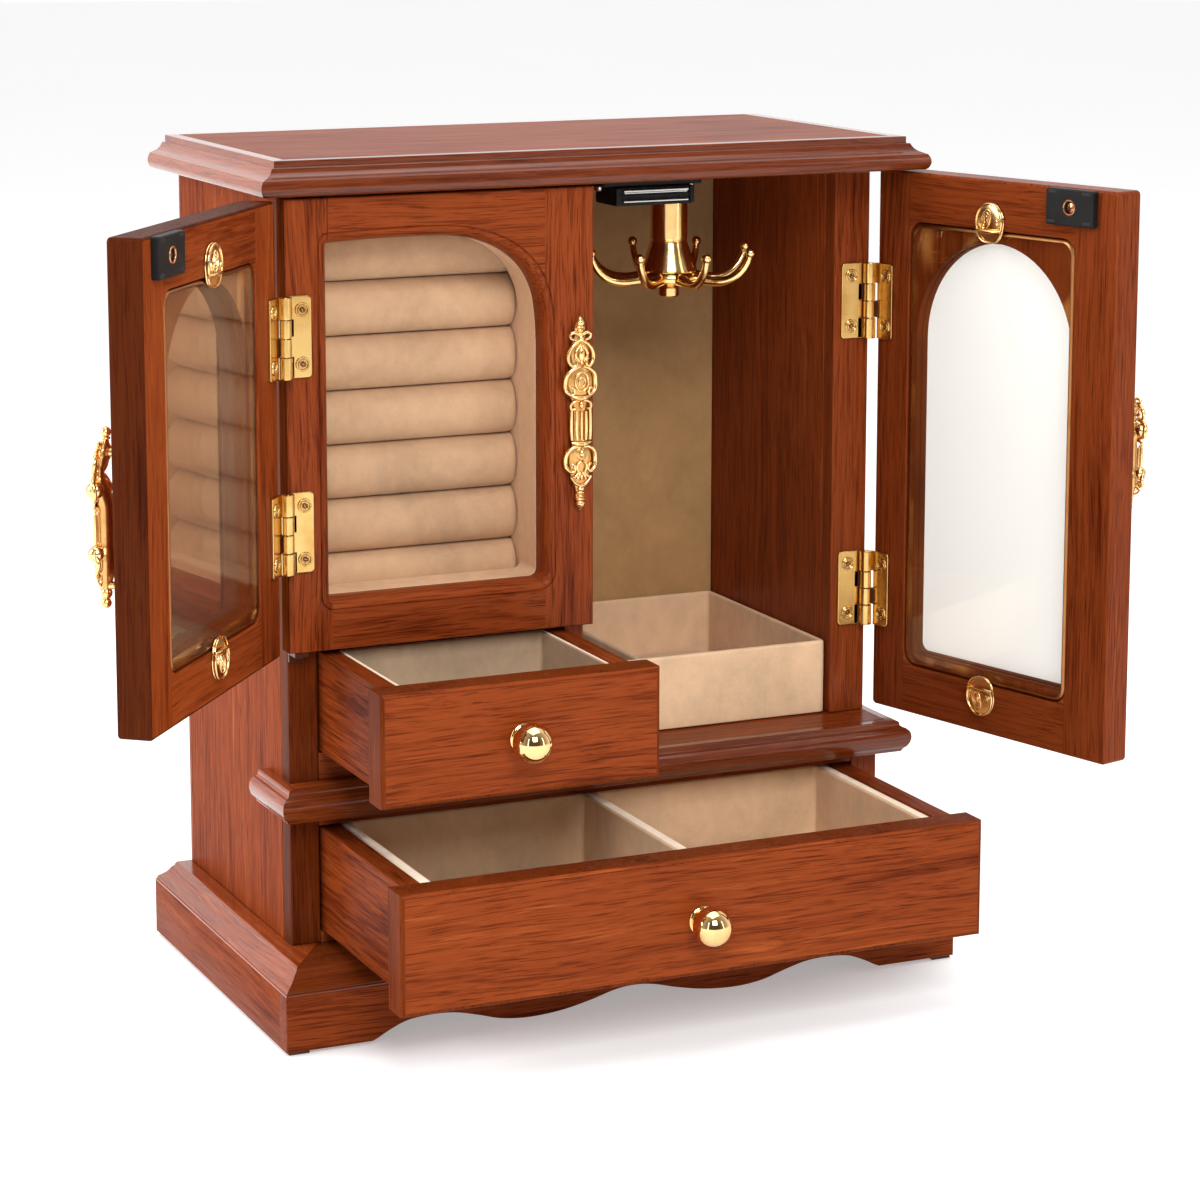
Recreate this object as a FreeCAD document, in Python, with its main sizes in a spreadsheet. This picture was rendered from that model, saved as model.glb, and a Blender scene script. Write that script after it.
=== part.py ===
import FreeCAD, Part
import os, re, math

os.makedirs("parts", exist_ok=True)
doc = FreeCAD.newDocument("Cabinet")
V = FreeCAD.Vector
Z = V(0, 0, 1)

# driving dimensions, millimetres and degrees
CELLS = [
    ("halfw", 122.8), ("board", 8), ("backy", 75.5), ("backt", 3), ("postface", 41.9), ("postback", 33),
    ("postw", 11.4), ("ledge", 28.5), ("underside", 307.5), ("topt", 12.5), ("topface", 44),
    ("waistlow", 78.4), ("waisttop", 90.6), ("waistface", 48.7), ("partl", 12.5), ("partr", 4.5),
    ("rpostin", 107.4), ("rpostface", 30.8), ("rpostback", 22.8), ("floorlow", 141.4), ("floort", 5.6),
    ("floorboard", 4.2), ("deckt", 4), ("decktop", 101), ("plinthx", 138), ("plinthy", 78.5), ("plintht", 8),
    ("padh", 1.2), ("plinthtop", 22), ("lowrail", 73.2),
    ("rollpitch", 20.3), ("rollrad", 10), ("rollbottom", 160.55), ("rolly", 16.8), ("winl", 108.5), ("winr", 24.2),
    ("winlow", 160.4), ("archfoot", 250), ("backing", 6.4), ("facing", 27),
    ("innerface", 51.2), ("innerback", 42), ("innerl", 125), ("doorlow", 141.4), ("doortop", 306.5),
    ("stilew", 16.5), ("pivotx", 120.4), ("pivoty", 46.6), ("pivotrad", 1.2), ("pivotbore", 1.26),
    ("leftaxisx", 126.3), ("leftaxisy", 54.2), ("leftopen", 129.15), ("leftgap", 1.6), ("leftwide", 124),
    ("rightaxisx", 121.4), ("rightaxisy", 33.8), ("rightopen", 104.93), ("rightgap", 1.46), ("rightwide", 122.7),
    ("rightlow", 94), ("facegap", 3), ("doort", 12.1), ("barrel", 2.8), ("pinrad", 1.1), ("pinbore", 1.16),
    ("leaft", 1.2), ("knucka", 8), ("knuckb", 6.5), ("knuckgap", 0.2), ("archrad", 40), ("archdepth", 7.3),
    ("mirrort", 2), ("panet", 1.8), ("strikey", 3), ("buttonrad", 7.5), ("buttont", 2.2), ("screwrad", 1.5),
    ("screwbore", 1.56), ("frontt", 13), ("frontover", 115.7), ("uppertravel", 63), ("lowertravel", 80.2),
    ("upperlow", 99.2), ("uppertop", 140.2), ("lowerlow", 29.3), ("lowertop", 73.3), ("boxback", 70),
    ("boxhalf", 110.6), ("knobrad", 6.3), ("trayl", 3.7), ("trayr", 106.7), ("trayfront", 29), ("trayback", 73.3),
    ("traylow", 91), ("traytop", 120), ("traywall", 2.2), ("colx", 51.4), ("coly", 1), ("colrad", 7.2),
    ("hubrad", 11), ("spindle", 2), ("spindlebore", 2.06), ("hookrad", 1.5), ("hookball", 1.9),
]
sheet = doc.addObject("Spreadsheet::Sheet", "Sizes")
for row, (alias, value) in enumerate(CELLS, 1):
    sheet.set("A%d" % row, alias)
    sheet.set("B%d" % row, repr(value))
    sheet.setAlias("B%d" % row, alias)
doc.recompute()
NAMES = set(a for a, v in CELLS)
KEEP = []


def g(alias):
    return float(sheet.get(alias))


def ex(text):
    return re.sub(r"[a-z]+", lambda m: "Sizes." + m.group(0) if m.group(0) in NAMES else m.group(0), str(text))


def bind(obj, prop, text):
    obj.setExpression(prop, ex(text))


def safe(label):
    return "".join(c for c in label.title() if c.isalnum())


def sub(obj, label):
    """A finished piece: its label names the node."""
    obj.Label = label
    KEEP.append(obj)
    return obj


def box(x0, x1, y0, y1, z0, z1, name="Board"):
    b = doc.addObject("Part::Box", name)
    for prop, lo, hi in (("Length", x0, x1), ("Width", y0, y1), ("Height", z0, z1)):
        bind(b, prop, "(%s) - (%s)" % (hi, lo))
    for prop, lo in (("x", x0), ("y", y0), ("z", z0)):
        bind(b, "Placement.Base." + prop, lo)
    return b


def cyl(x, y, z, rad, length, axis="z", name="Round"):
    c = doc.addObject("Part::Cylinder", name)
    rot = {"z": FreeCAD.Rotation(), "x": FreeCAD.Rotation(V(0, 1, 0), 90), "y": FreeCAD.Rotation(V(1, 0, 0), -90)}[axis]
    c.Placement = FreeCAD.Placement(V(0, 0, 0), rot)
    bind(c, "Radius", rad)
    bind(c, "Height", length)
    for prop, lo in (("x", x), ("y", y), ("z", z)):
        bind(c, "Placement.Base." + prop, lo)
    return c


def ball(x, y, z, rad):
    s = doc.addObject("Part::Sphere", "Ball")
    bind(s, "Radius", rad)
    for prop, lo in (("x", x), ("y", y), ("z", z)):
        bind(s, "Placement.Base." + prop, lo)
    return s


def fuse(*objs):
    f = doc.addObject("Part::MultiFuse", "Joined")
    f.Shapes = list(objs)
    f.Refine = True
    return f


def cut(base, *tools):
    c = doc.addObject("Part::Cut", "Shaped")
    c.Base = base
    c.Tool = tools[0] if len(tools) == 1 else fuse(*tools)
    c.Refine = True
    return c


def group(*objs):
    c = doc.addObject("Part::Compound", "Set")
    c.Links = list(objs)
    return c


def feature(label, shape):
    f = doc.addObject("Part::Feature", safe(label))
    f.Shape = shape
    f.Placement = FreeCAD.Placement()
    return sub(f, label)


def block(label, x0, x1, y0, y1, z0, z1, rounds=()):
    """A padded board with rounded edges, drawn as a body at its own corner."""
    body = doc.addObject("PartDesign::Body", safe(label))
    for prop, lo in (("x", x0), ("y", y0), ("z", z0)):
        bind(body, "Placement.Base." + prop, lo)
    sk = body.newObject("Sketcher::SketchObject", safe(label) + "Outline")
    flat = [f for f in body.Origin.OriginFeatures if f.Role == "XY_Plane"][0]
    sk.AttachmentSupport = [(flat, "")]
    sk.MapMode = "FlatFace"
    pts = [(0, 0), (20, 0), (20, 10), (0, 10)]
    for i in range(4):
        a, b = pts[i], pts[(i + 1) % 4]
        sk.addGeometry(Part.LineSegment(V(a[0], a[1], 0), V(b[0], b[1], 0)), False)
    import Sketcher
    for i in range(4):
        sk.addConstraint(Sketcher.Constraint("Coincident", i, 2, (i + 1) % 4, 1))
    sk.addConstraint(Sketcher.Constraint("Coincident", 0, 1, -1, 1))
    for i, kind in enumerate(("Horizontal", "Vertical", "Horizontal", "Vertical")):
        sk.addConstraint(Sketcher.Constraint(kind, i))
    k = sk.addConstraint(Sketcher.Constraint("DistanceX", 0, 1, 0, 2, 20.0))
    sk.renameConstraint(k, "wide")
    k = sk.addConstraint(Sketcher.Constraint("DistanceY", 1, 1, 1, 2, 10.0))
    sk.renameConstraint(k, "deep")
    bind(sk, "Constraints.wide", "(%s) - (%s)" % (x1, x0))
    bind(sk, "Constraints.deep", "(%s) - (%s)" % (y1, y0))
    pad = body.newObject("PartDesign::Pad", safe(label) + "Pad")
    pad.Profile = sk
    pad.Length = 5
    bind(pad, "Length", "(%s) - (%s)" % (z1, z0))
    body.Tip = pad
    doc.recompute()
    last = pad
    for n, (pick, rad) in enumerate(rounds):
        bb = last.Shape.BoundBox
        edges = ["Edge%d" % (i + 1) for i, e in enumerate(last.Shape.Edges) if pick(e.BoundBox, bb)]
        fil = body.newObject("PartDesign::Fillet", safe(label) + "Round%d" % n)
        fil.Base = (last, edges)
        fil.Radius = rad
        body.Tip = fil
        doc.recompute()
        last = fil
    return sub(body, label)


def front_edges(e, bb):
    """All four edges of the front face."""
    return e.YMax < bb.YMin + 0.01


def upright_edges(e, bb):
    return e.ZLength > bb.ZLength * 0.6


# ---------------------------------------------------------------- moulded strips
def strip(profile, place_a, place_b):
    """Solid between two mitre planes. profile: list of lists, a list of two points
    is straight, a longer one is a smooth curve. place maps (out, z) to a point."""
    wires = []
    for place in (place_a, place_b):
        edges = []
        for run in profile:
            pts = [place(t, z) for t, z in run]
            if len(pts) == 2:
                edges.append(Part.LineSegment(pts[0], pts[1]).toShape())
            else:
                c = Part.BSplineCurve()
                c.interpolate(pts)
                edges.append(c.toShape())
        wires.append(Part.Wire(edges))
    return Part.makeLoft(wires, True, True)


def three_sides(profile, xs, ys, px, py, end_y):
    """Front strip and two side strips, mitred at the front corners. A point t of the
    profile lies at x = xs + px t, y = -(ys + py t); the side strips end flat at end_y."""
    fl = lambda t, z: V(-(xs + px * t), -(ys + py * t), z)
    fr = lambda t, z: V(xs + px * t, -(ys + py * t), z)
    bl = lambda t, z: V(-(xs + px * t), end_y, z)
    br = lambda t, z: V(xs + px * t, end_y, z)
    return Part.makeCompound([strip(profile, fl, fr), strip(profile, bl, fl), strip(profile, fr, br)])


halfw, topz, ledge, ptop = g("halfw"), g("underside"), g("ledge"), g("plinthtop")
# crown: flat lip, small step, hollow, round nose
crown = [[(0, topz), (10.6, topz)],
         [(10.6, topz), (11.7, topz + 0.9), (12.35, topz + 2.6), (12.1, topz + 4.6), (11.2, topz + 6.0)],
         [(11.2, topz + 6.0), (9.0, topz + 6.7), (7.4, topz + 8.0), (6.3, topz + 9.9)],
         [(6.3, topz + 9.9), (5.1, topz + 9.9)],
         [(5.1, topz + 9.9), (5.1, topz + 12.5)],
         [(5.1, topz + 12.5), (0, topz + 12.5)],
         [(0, topz + 12.5), (0, topz)]]
feature("cornice_moulding", three_sides(crown, halfw, g("topface"), 1, 1, g("backy") + g("backt")))
wl, wt = g("waistlow"), g("waisttop")
belt = [[(0, wl), (4.6, wl)],
        [(4.6, wl), (5.2, wl + 1.2), (6.6, wl + 2.6)],
        [(6.6, wl + 2.6), (7.4, wl + 4.2), (7.7, wl + 6.4), (7.2, wl + 8.4), (6.0, wl + 9.6)],
        [(6.0, wl + 9.6), (4.9, wl + 9.9)],
        [(4.9, wl + 9.9), (4.1, wl + 10.6), (4.1, wl + 11.4), (3.5, wt)],
        [(3.5, wt), (0, wt)],
        [(0, wt), (0, wl)]]
feature("waist_moulding", three_sides(belt, halfw, g("waistface"), 1, 1, -18.0))
tin = -(128.4 - 110.0) / 9.6
base = [[(tin, ptop), (1, ptop)],
        [(1, ptop), (1, ptop + 0.8)],
        [(1, ptop + 0.8), (0.93, ptop + 0.8)],
        [(0.93, ptop + 0.8), (0.93, ptop + 1.4)],
        [(0.93, ptop + 1.4), (0.84, ptop + 1.9), (0.62, ptop + 2.6), (0.42, ptop + 3.6), (0.30, ptop + 4.7), (0.16, ptop + 5.3)],
        [(0.16, ptop + 5.3), (0.10, ptop + 6.1), (0, ledge)],
        [(0, ledge), (tin, ledge)],
        [(tin, ledge), (tin, ptop)]]
feature("base_moulding", three_sides(base, 128.4, 64.5, 9.6, 14.0, g("backy") + g("backt")))

# ---------------------------------------------------------------- plinth
px, py, pt, ph = g("plinthx"), g("plinthy"), g("plintht"), g("padh")
half_wave = [(0, 8.0), (8, 7.2), (18, 4.6), (30, 2.3), (43, 1.5), (54, 2.6), (64, 5.4), (73, 7.5), (82, 8.0), (91, 7.2), (98, 4.6), (103, 2.0)]
pts = [(-x, z) for x, z in reversed(half_wave)] + half_wave[1:]
wave = Part.BSplineCurve()
wave.interpolate([V(x, -py, z) for x, z in pts])
corner = [V(103, -py, 2.0), V(104, -py, ph), V(px, -py, ph), V(px, -py, ptop), V(-px, -py, ptop), V(-px, -py, ph), V(-104, -py, ph), V(-103, -py, 2.0)]
edges = [wave.toShape()] + [Part.LineSegment(corner[i], corner[i + 1]).toShape() for i in range(len(corner) - 1)]
feature("plinth_front", Part.Face(Part.Wire(edges)).extrude(V(0, pt, 0)))
sub(group(box("-plinthx", "-plinthx + plintht", "-plinthy + plintht", "plinthy", "padh", "plinthtop"),
          box("plinthx - plintht", "plinthx", "-plinthy + plintht", "plinthy", "padh", "plinthtop"),
          box("-plinthx + plintht", "plinthx - plintht", "plinthy - 6", "plinthy", "padh", "plinthtop"),
          box("-15", "15", "-10", "10", "padh", "ledge")), "plinth_boards")
sub(group(box("-plinthx + 1", "-plinthx + 9", "-plinthy + 1", "-plinthy + 9", "0", "padh"),
          box("plinthx - 9", "plinthx - 1", "-plinthy + 1", "-plinthy + 9", "0", "padh"),
          box("-plinthx + 1", "-plinthx + 7", "30", "38", "0", "padh"),
          box("plinthx - 7", "plinthx - 1", "30", "38", "0", "padh"),
          box("-plinthx + 1", "-plinthx + 7", "plinthy - 9", "plinthy - 1", "0", "padh"),
          box("plinthx - 7", "plinthx - 1", "plinthy - 9", "plinthy - 1", "0", "padh"),
          box("-12", "12", "-8", "8", "0", "padh")), "foot_pads")

# ---------------------------------------------------------------- carcass
sub(box("-halfw", "halfw", "-topface", "backy + backt", "underside", "underside + topt"), "top_board")
sub(box("-halfw", "-halfw + board", "-postback", "backy", "ledge", "underside"), "side_left")
sub(cut(box("halfw - board", "halfw", "-postback", "backy", "ledge", "underside"),
        box("halfw - board - 1", "halfw + 1", "-postback - 1", "-rpostback", "waisttop", "underside + 1")), "side_right")
sub(box("-halfw", "halfw", "backy", "backy + backt", "ledge", "underside"), "back_panel")
sub(box("-partl", "-partr", "-postface", "backy", "waisttop", "underside"), "partition")
sub(box("-halfw", "-halfw + postw", "-postface", "-postback", "ledge", "underside"), "post_left")
sub(group(box("halfw - postw", "halfw", "-postface", "-postback", "ledge", "waistlow"),
          box("rpostin", "halfw", "-rpostface", "-rpostback", "waisttop", "underside")), "posts_right")
sub(box("rpostin", "halfw - board", "-rpostback", "backy", "waisttop", "underside"), "inner_board_right")
sub(fuse(box("-halfw + board", "halfw - board", "-postback", "backy", "waistlow", "waisttop"),
         box("-halfw + postw", "halfw", "-postface", "-postback", "waistlow", "waisttop"),
         box("-halfw", "halfw", "-waistface", "-postface", "waistlow", "waisttop")), "waist_board")
sub(group(box("-halfw + postw", "-partl", "-postface", "-postback", "waisttop", "decktop"),
          box("-halfw + postw", "halfw - postw", "-postface", "-postback", "lowrail", "waistlow")), "cross_rails")
sub(group(box("-halfw + board", "-partl", "-postback", "backy", "decktop - deckt", "decktop"),
          box("-halfw + board", "-halfw + board + 7", "-postback", "backy", "waisttop", "decktop - deckt"),
          box("-partl - 7", "-partl", "-postback", "backy", "waisttop", "decktop - deckt")), "drawer_deck")
sub(fuse(box("-halfw + board", "-partl", "-postback", "backy", "floorlow", "floorlow + floort"),
         box("-halfw + postw", "-partl", "-postface", "-postback", "floorlow", "floorlow + floort")), "ring_floor")
sub(fuse(box("-halfw + board", "halfw - board", "-postback", "backy", "ledge", "ledge + floorboard"),
         box("-halfw + postw", "halfw - postw", "-postface", "-postback", "ledge", "ledge + floorboard")), "bottom_board")

# ---------------------------------------------------------------- ring compartment
ARCH = [(-108.5, 289.6), (-86, 290.6), (-62, 290.4), (-49, 288.0), (-38.5, 283.4), (-31, 276.8), (-26.6, 268.6), (-24.9, 260), (-24.2, 250)]


def arched(y0, y1, ztop):
    """Head of the framed window: solid above the arch, between two depths."""
    curve = Part.BSplineCurve()
    curve.interpolate([V(x, y0, z) for x, z in ARCH])
    l, r, foot = -g("winl"), -g("winr"), g("archfoot")
    lines = [(V(r, y0, foot), V(r, y0, ztop)), (V(r, y0, ztop), V(l, y0, ztop)), (V(l, y0, ztop), V(l, y0, ARCH[0][1]))]
    edges = [curve.toShape()] + [Part.LineSegment(p, q).toShape() for p, q in lines]
    return Part.Face(Part.Wire(edges)).extrude(V(0, y1 - y0, 0))


facing = doc.addObject("Part::Feature", "FacingHead")
facing.Shape = arched(-g("postface"), -g("facing"), g("underside"))
sub(group(facing,
          box("-winr", "-partl", "-postface", "-backing", "floorlow + floort", "underside"),
          box("-halfw + postw", "-winl", "-postface", "-backing", "floorlow + floort", "underside"),
          box("-winl", "-winr", "-postface", "-facing", "floorlow + floort", "winlow"),
          box("-winl", "-winr", "-backing", "-backing + 3", "floorlow + floort", "underside")), "ring_lining")
sub(group(*[cyl("-winl + 0.3", "-rolly", "rollbottom + %d * rollpitch" % i, "rollrad",
                "winl - winr - 0.6", "x") for i in range(7)]), "ring_rolls")
sub(box("-partr", "rpostin", "backy - 1.5", "backy", "waisttop", "underside"), "lining_back")

# ---------------------------------------------------------------- catch under the top
sub(fuse(box("14", "46.7", "-30", "-12", "296", "underside"),
         box("8.7", "52", "-28.5", "-13.5", "303", "underside")), "catch_body")
sub(group(box("17", "44", "-31.6", "-30", "300.7", "302.1"), box("17", "44", "-31.6", "-30", "297.4", "298.8"),
          cyl("11.4", "-21", "301.2", "2.0", "1.8"), cyl("49.3", "-21", "301.2", "2.0", "1.8")), "catch_poles")

# ---------------------------------------------------------------- carousel
cx, cy = g("colx"), g("coly")
flare = doc.addObject("Part::Cone", "Flare")
bind(flare, "Radius1", "hubrad")
bind(flare, "Radius2", "colrad")
flare.Height = 10.1
for p, lo in (("x", "colx"), ("y", "coly"), ("z", "266.5")):
    bind(flare, "Placement.Base." + p, lo)
sub(fuse(cyl("colx", "coly", "276.6", "colrad", "underside - 276.6"), flare,
         cyl("colx", "coly", "256.5", "spindle", "11"), cyl("colx", "coly", "256.5", "4", "4.2")), "carousel_column")
sub(cut(fuse(cyl("colx", "coly", "262.2", "hubrad", "4.0"), cyl("colx", "coly", "261", "hubrad - 3", "1.3")),
        cyl("colx", "coly", "260", "spindlebore", "8")), "carousel_hub")
hr = g("hookrad")
hooks = []
a0, a1 = V(9.5, 0, 264.0 + 1.4 * 0.8 / 7.6), V(18.5, 0, 263.2)
d = (a1 - a0).normalize()
nrm = V(-d.z, 0, d.x)
rad = 13.5
cen = a1 + nrm * rad
end_ang = math.radians(88)
p_mid = cen + (nrm * -math.cos(end_ang / 2) + d * math.sin(end_ang / 2)) * rad
p_end = cen + (nrm * -math.cos(end_ang) + d * math.sin(end_ang)) * rad
path = Part.Wire([Part.LineSegment(a0, a1).toShape(), Part.Arc(a1, p_mid, p_end).toShape()])
ring = Part.Wire([Part.Circle(a0, d, hr).toShape()])
arm = path.makePipeShell([ring], True, False).fuse(Part.makeSphere(g("hookball"), p_end)).removeSplitter()
arm = arm.cut(Part.makeCylinder(g("hubrad") + 0.04, 20, V(0, 0, 254)))
for i in range(8):
    h = arm.copy()
    h.rotate(V(0, 0, 0), Z, 45 * i)
    h.translate(V(cx, cy, 0))
    hooks.append(h)
feature("carousel_hooks", Part.makeCompound(hooks))

# ---------------------------------------------------------------- jewellery tray
tray = cut(block("tray_blank", "-trayl", "trayr", "-trayfront", "trayback", "traylow", "traytop",
                 [(upright_edges, 2.5)]),
           box("-trayl + traywall", "25", "-trayfront + traywall", "trayback - traywall", "traylow + 2", "traytop + 9"),
           box("27.2", "trayr - traywall", "-trayfront + traywall", "trayback - traywall", "traylow + 2", "traytop + 9"))
KEEP.pop()
sub(tray, "accessory_tray")


# ---------------------------------------------------------------- drawers
def knob(label, x, z, travel):
    y = "-postface - frontt"
    k = fuse(cyl(x, y + " - 1.4", z, "5.4", "1.4", "y"), cyl(x, y + " - 9", z, "2.6", "9", "y"),
             cyl(x, y + " - 3.6", z, "4.0", "1.0", "y"), ball(x, y + " - 10.1", z, "knobrad"))
    bind(k, "Placement.Base.y", "-" + travel)
    return sub(k, label)


def slide(obj, travel):
    bind(obj, "Placement.Base.y", "-" + travel)
    return obj


block("upper_drawer_front", "-frontover", "-8.5", "-postface - frontt - uppertravel", "-postface - uppertravel",
      "upperlow", "uppertop", [(front_edges, 1.2)])
sub(slide(cut(box("-boxhalf", "-13.4", "-postface", "boxback", "decktop + 0.3", "uppertop - 1"),
              box("-boxhalf + 7", "-20.4", "-postface - 1", "62", "decktop + 3.3", "uppertop + 9")), "uppertravel"), "upper_drawer_box")
sub(slide(cut(box("-boxhalf + 7", "-20.4", "-postface", "22", "decktop + 3.3", "uppertop - 1.4"),
              box("-boxhalf + 9", "-22.4", "-postface - 1", "20", "decktop + 11", "uppertop + 9")), "uppertravel"), "upper_drawer_lining")
knob("upper_knob", "-62.1", "119.7", "uppertravel")
block("lower_drawer_front", "-frontover", "frontover", "-postface - frontt - lowertravel", "-postface - lowertravel",
      "lowerlow", "lowertop", [(front_edges, 1.2)])
sub(slide(cut(box("-boxhalf", "boxhalf", "-postface", "boxback", "ledge + floorboard + 0.3", "lowertop - 0.7"),
              box("-boxhalf + 8", "boxhalf - 8", "-postface - 1", "62", "ledge + floorboard + 3.3", "lowertop + 9")), "lowertravel"), "lower_drawer_box")
sub(slide(cut(box("-boxhalf + 8", "boxhalf - 8", "-postface", "46.5", "ledge + floorboard + 3.3", "lowertop - 1.1"),
              box("-boxhalf + 13", "-2.9", "-postface - 1", "42", "ledge + floorboard + 14", "lowertop + 9"),
              box("2.4", "boxhalf - 13", "-postface - 1", "42", "ledge + floorboard + 14", "lowertop + 9")), "lowertravel"), "lower_drawer_lining")
knob("lower_knob", "0", "50", "lowertravel")


# ---------------------------------------------------------------- pulls
SIDE = [(0.50, 0.22), (0.485, 0.42), (0.455, 0.48), (0.43, 0.38), (0.405, 0.60), (0.37, 0.74), (0.335, 0.74), (0.30, 0.60),
        (0.26, 0.62), (0.22, 0.76), (0.185, 0.97), (0.155, 1.0), (0.12, 0.94), (0.095, 0.78), (0.075, 0.70), (-0.13, 0.70),
        (-0.15, 0.84), (-0.185, 0.98), (-0.215, 0.96), (-0.25, 0.80), (-0.30, 0.78), (-0.335, 0.70), (-0.375, 0.62),
        (-0.42, 0.42), (-0.455, 0.48), (-0.485, 0.42), (-0.50, 0.22), (-0.49, 0.0), (-0.345, 0.0), (-0.32, 0.26),
        (-0.24, 0.44), (0.12, 0.44), (0.26, 0.38), (0.30, 0.0), (0.49, 0.0)]
FRONT = [(0.0, 0.50), (0.22, 0.47), (0.24, 0.445), (0.5, 0.43), (0.48, 0.40), (0.34, 0.375), (0.55, 0.33), (0.72, 0.27), (0.62, 0.23),
         (0.88, 0.17), (1.0, 0.12), (0.92, 0.05), (0.74, -0.02), (0.60, -0.05), (0.60, -0.20), (0.92, -0.225), (1.0, -0.29),
         (0.86, -0.35), (0.45, -0.385), (0.34, -0.43), (0.48, -0.455), (0.0, -0.50)]


def pull(length, width, relief, at, gap=True):
    """Ornate bow handle standing upright, its middle at the point at: x across, y outwards (negative), z up."""
    side = [(s * length, n * relief) for s, n in SIDE]
    if not gap:
        side = [p for p in side if p[1] > 0.001 and not (0.2 < p[1] / relief < 0.5 and abs(p[0]) < 0.35 * length)]
        side = side + [(-0.49 * length, 0.0), (0.49 * length, 0.0)]
    flat = Part.Face(Part.makePolygon([V(-width, -n, s) + at for s, n in side + side[:1]])).extrude(V(2 * width, 0, 0))
    half = [(w * width / 2, s * length) for w, s in FRONT]
    out = half + [(-w, s) for w, s in reversed(half[1:-1])]
    face = Part.Face(Part.makePolygon([V(w, 5, s) + at for w, s in out + out[:1]])).extrude(V(0, -relief - 10, 0))
    return flat.common(face)


feature("inner_pull", pull(73, 13, 4.8, V(-11.05, -g("innerface"), 222.5), False))

# ---------------------------------------------------------------- inner framed door
stile_l = fuse(box("-pivotx", "-innerl + stilew", "-innerface", "-innerback", "doorlow", "doortop"),
               box("-innerl", "-pivotx", "-innerface", "-pivoty", "doorlow", "doortop"),
               cyl("-pivotx", "-pivoty", "doorlow", "innerface - pivoty", "doortop - doorlow"))
stile_l = cut(stile_l, cyl("-pivotx", "-pivoty", "doorlow - 1", "pivotbore", "6.5"),
              cyl("-pivotx", "-pivoty", "doortop - 5.5", "pivotbore", "6.5"))
sub(group(stile_l, box("-winr", "-partr", "-innerface", "-innerback", "doorlow", "doortop")), "inner_stiles")
top_rail = arched(-g("innerface"), -g("innerback"), g("doortop"))
bottom_rail = Part.makeBox(g("winl") - g("winr"), g("innerface") - g("innerback"), g("winlow") - g("doorlow"),
                           V(-g("winl"), -g("innerface"), g("doorlow")))
feature("inner_rails", Part.makeCompound([top_rail, bottom_rail]))
bracket = fuse(box("-halfw", "-halfw + 5.4", "-pivoty - 3", "-postface", "doorlow - 2", "doorlow - 0.2"),
               box("-halfw", "-halfw + 5.4", "-postface - 1.2", "-postface", "doorlow - 5", "doorlow - 0.2"),
               cyl("-pivotx", "-pivoty", "doorlow - 1", "pivotrad", "5"))
sub(group(bracket, cyl("-pivotx", "-pivoty", "doortop - 4", "pivotrad", "underside - doortop + 4")), "pivot_pins")


# ---------------------------------------------------------------- hinges, drawn about their own pin at the origin
def knuckles(z, which, bore=False):
    """Knuckle cylinders of one leaf: 0 the lowest and third, 1 the second and top."""
    spans = [("%s" % z, "knucka"), ("%s + knucka + knuckgap" % z, "knuckb"),
             ("%s + knucka + knuckb + 2 * knuckgap" % z, "knuckb"),
             ("%s + knucka + 2 * knuckb + 3 * knuckgap" % z, "knucka")]
    return [spans[0], spans[2]] if which == 0 else [spans[1], spans[3]]


def fixed_hinge(z, side):
    """Leaf on the post. side is +1 when the leaf lies towards +x of the pin, -1 towards -x."""
    parts = []
    lo, hi = ("3", "10.6") if side > 0 else ("-11.2", "-3")
    parts.append(box(lo, hi, "facegap - leaft", "facegap", z, "%s + 2 * knucka + 2 * knuckb + 3 * knuckgap" % z))
    for a, length in knuckles(z, 0):
        parts.append(cyl("0", "0", a, "barrel", length))
        parts.append(box("0" if side > 0 else "-4", "4" if side > 0 else "0", "facegap - leaft", "facegap - 0.2", a, "%s + %s" % (a, length)))
    parts.append(cyl("0", "0", z, "pinrad", "2 * knucka + 2 * knuckb + 3 * knuckgap"))
    xs = "7.2" if side > 0 else "-7.2"
    for dz in ("5", "24.6"):
        parts.append(cyl(xs, "facegap - leaft - 0.4", "%s + %s" % (z, dz), "2", "0.9", "y"))
    return fuse(*parts)


def door_hinge(z, side, out):
    """Leaf on the door, lying on its inner face. side as above for the door."""
    parts = []
    lo, hi = ("3.1", "10.4") if side > 0 else ("-10.4", "-3.1")
    parts.append(box(lo, hi, "-facegap", "-facegap + leaft", z, "%s + 2 * knucka + 2 * knuckb + 3 * knuckgap" % z))
    for a, length in knuckles(z, 1):
        parts.append(cyl("0", "0", a, "barrel", length))
        parts.append(box("0" if side > 0 else "-4", "4" if side > 0 else "0", "-facegap + 0.2", "-facegap + leaft", a, "%s + %s" % (a, length)))
    xs = "7.4" if side > 0 else "-7.4"
    for dz in ("5", "24.6"):
        parts.append(cyl(xs, "-facegap + leaft - 0.5", "%s + %s" % (z, dz), "2", "0.9", "y"))
    return cut(fuse(*parts), cyl("0", "0", "%s - 1" % z, "pinbore", "2 * knucka + 2 * knuckb + 3 * knuckgap + 2"))


def at_axis(obj, ax, ay, angle=None):
    if angle:
        obj.Placement = FreeCAD.Placement(V(0, 0, 0), FreeCAD.Rotation(Z, 30))
        bind(obj, "Placement.Rotation.Angle", angle)
    bind(obj, "Placement.Base.x", ax)
    bind(obj, "Placement.Base.y", ay)
    return obj


sub(at_axis(group(fixed_hinge("242.5", 1), fixed_hinge("171.4", 1)), "-leftaxisx", "-leftaxisy"), "left_hinge_fixed")
sub(at_axis(group(fixed_hinge("240.4", -1), fixed_hinge("126.2", -1)), "rightaxisx", "-rightaxisy"), "right_hinge_fixed")


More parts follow.
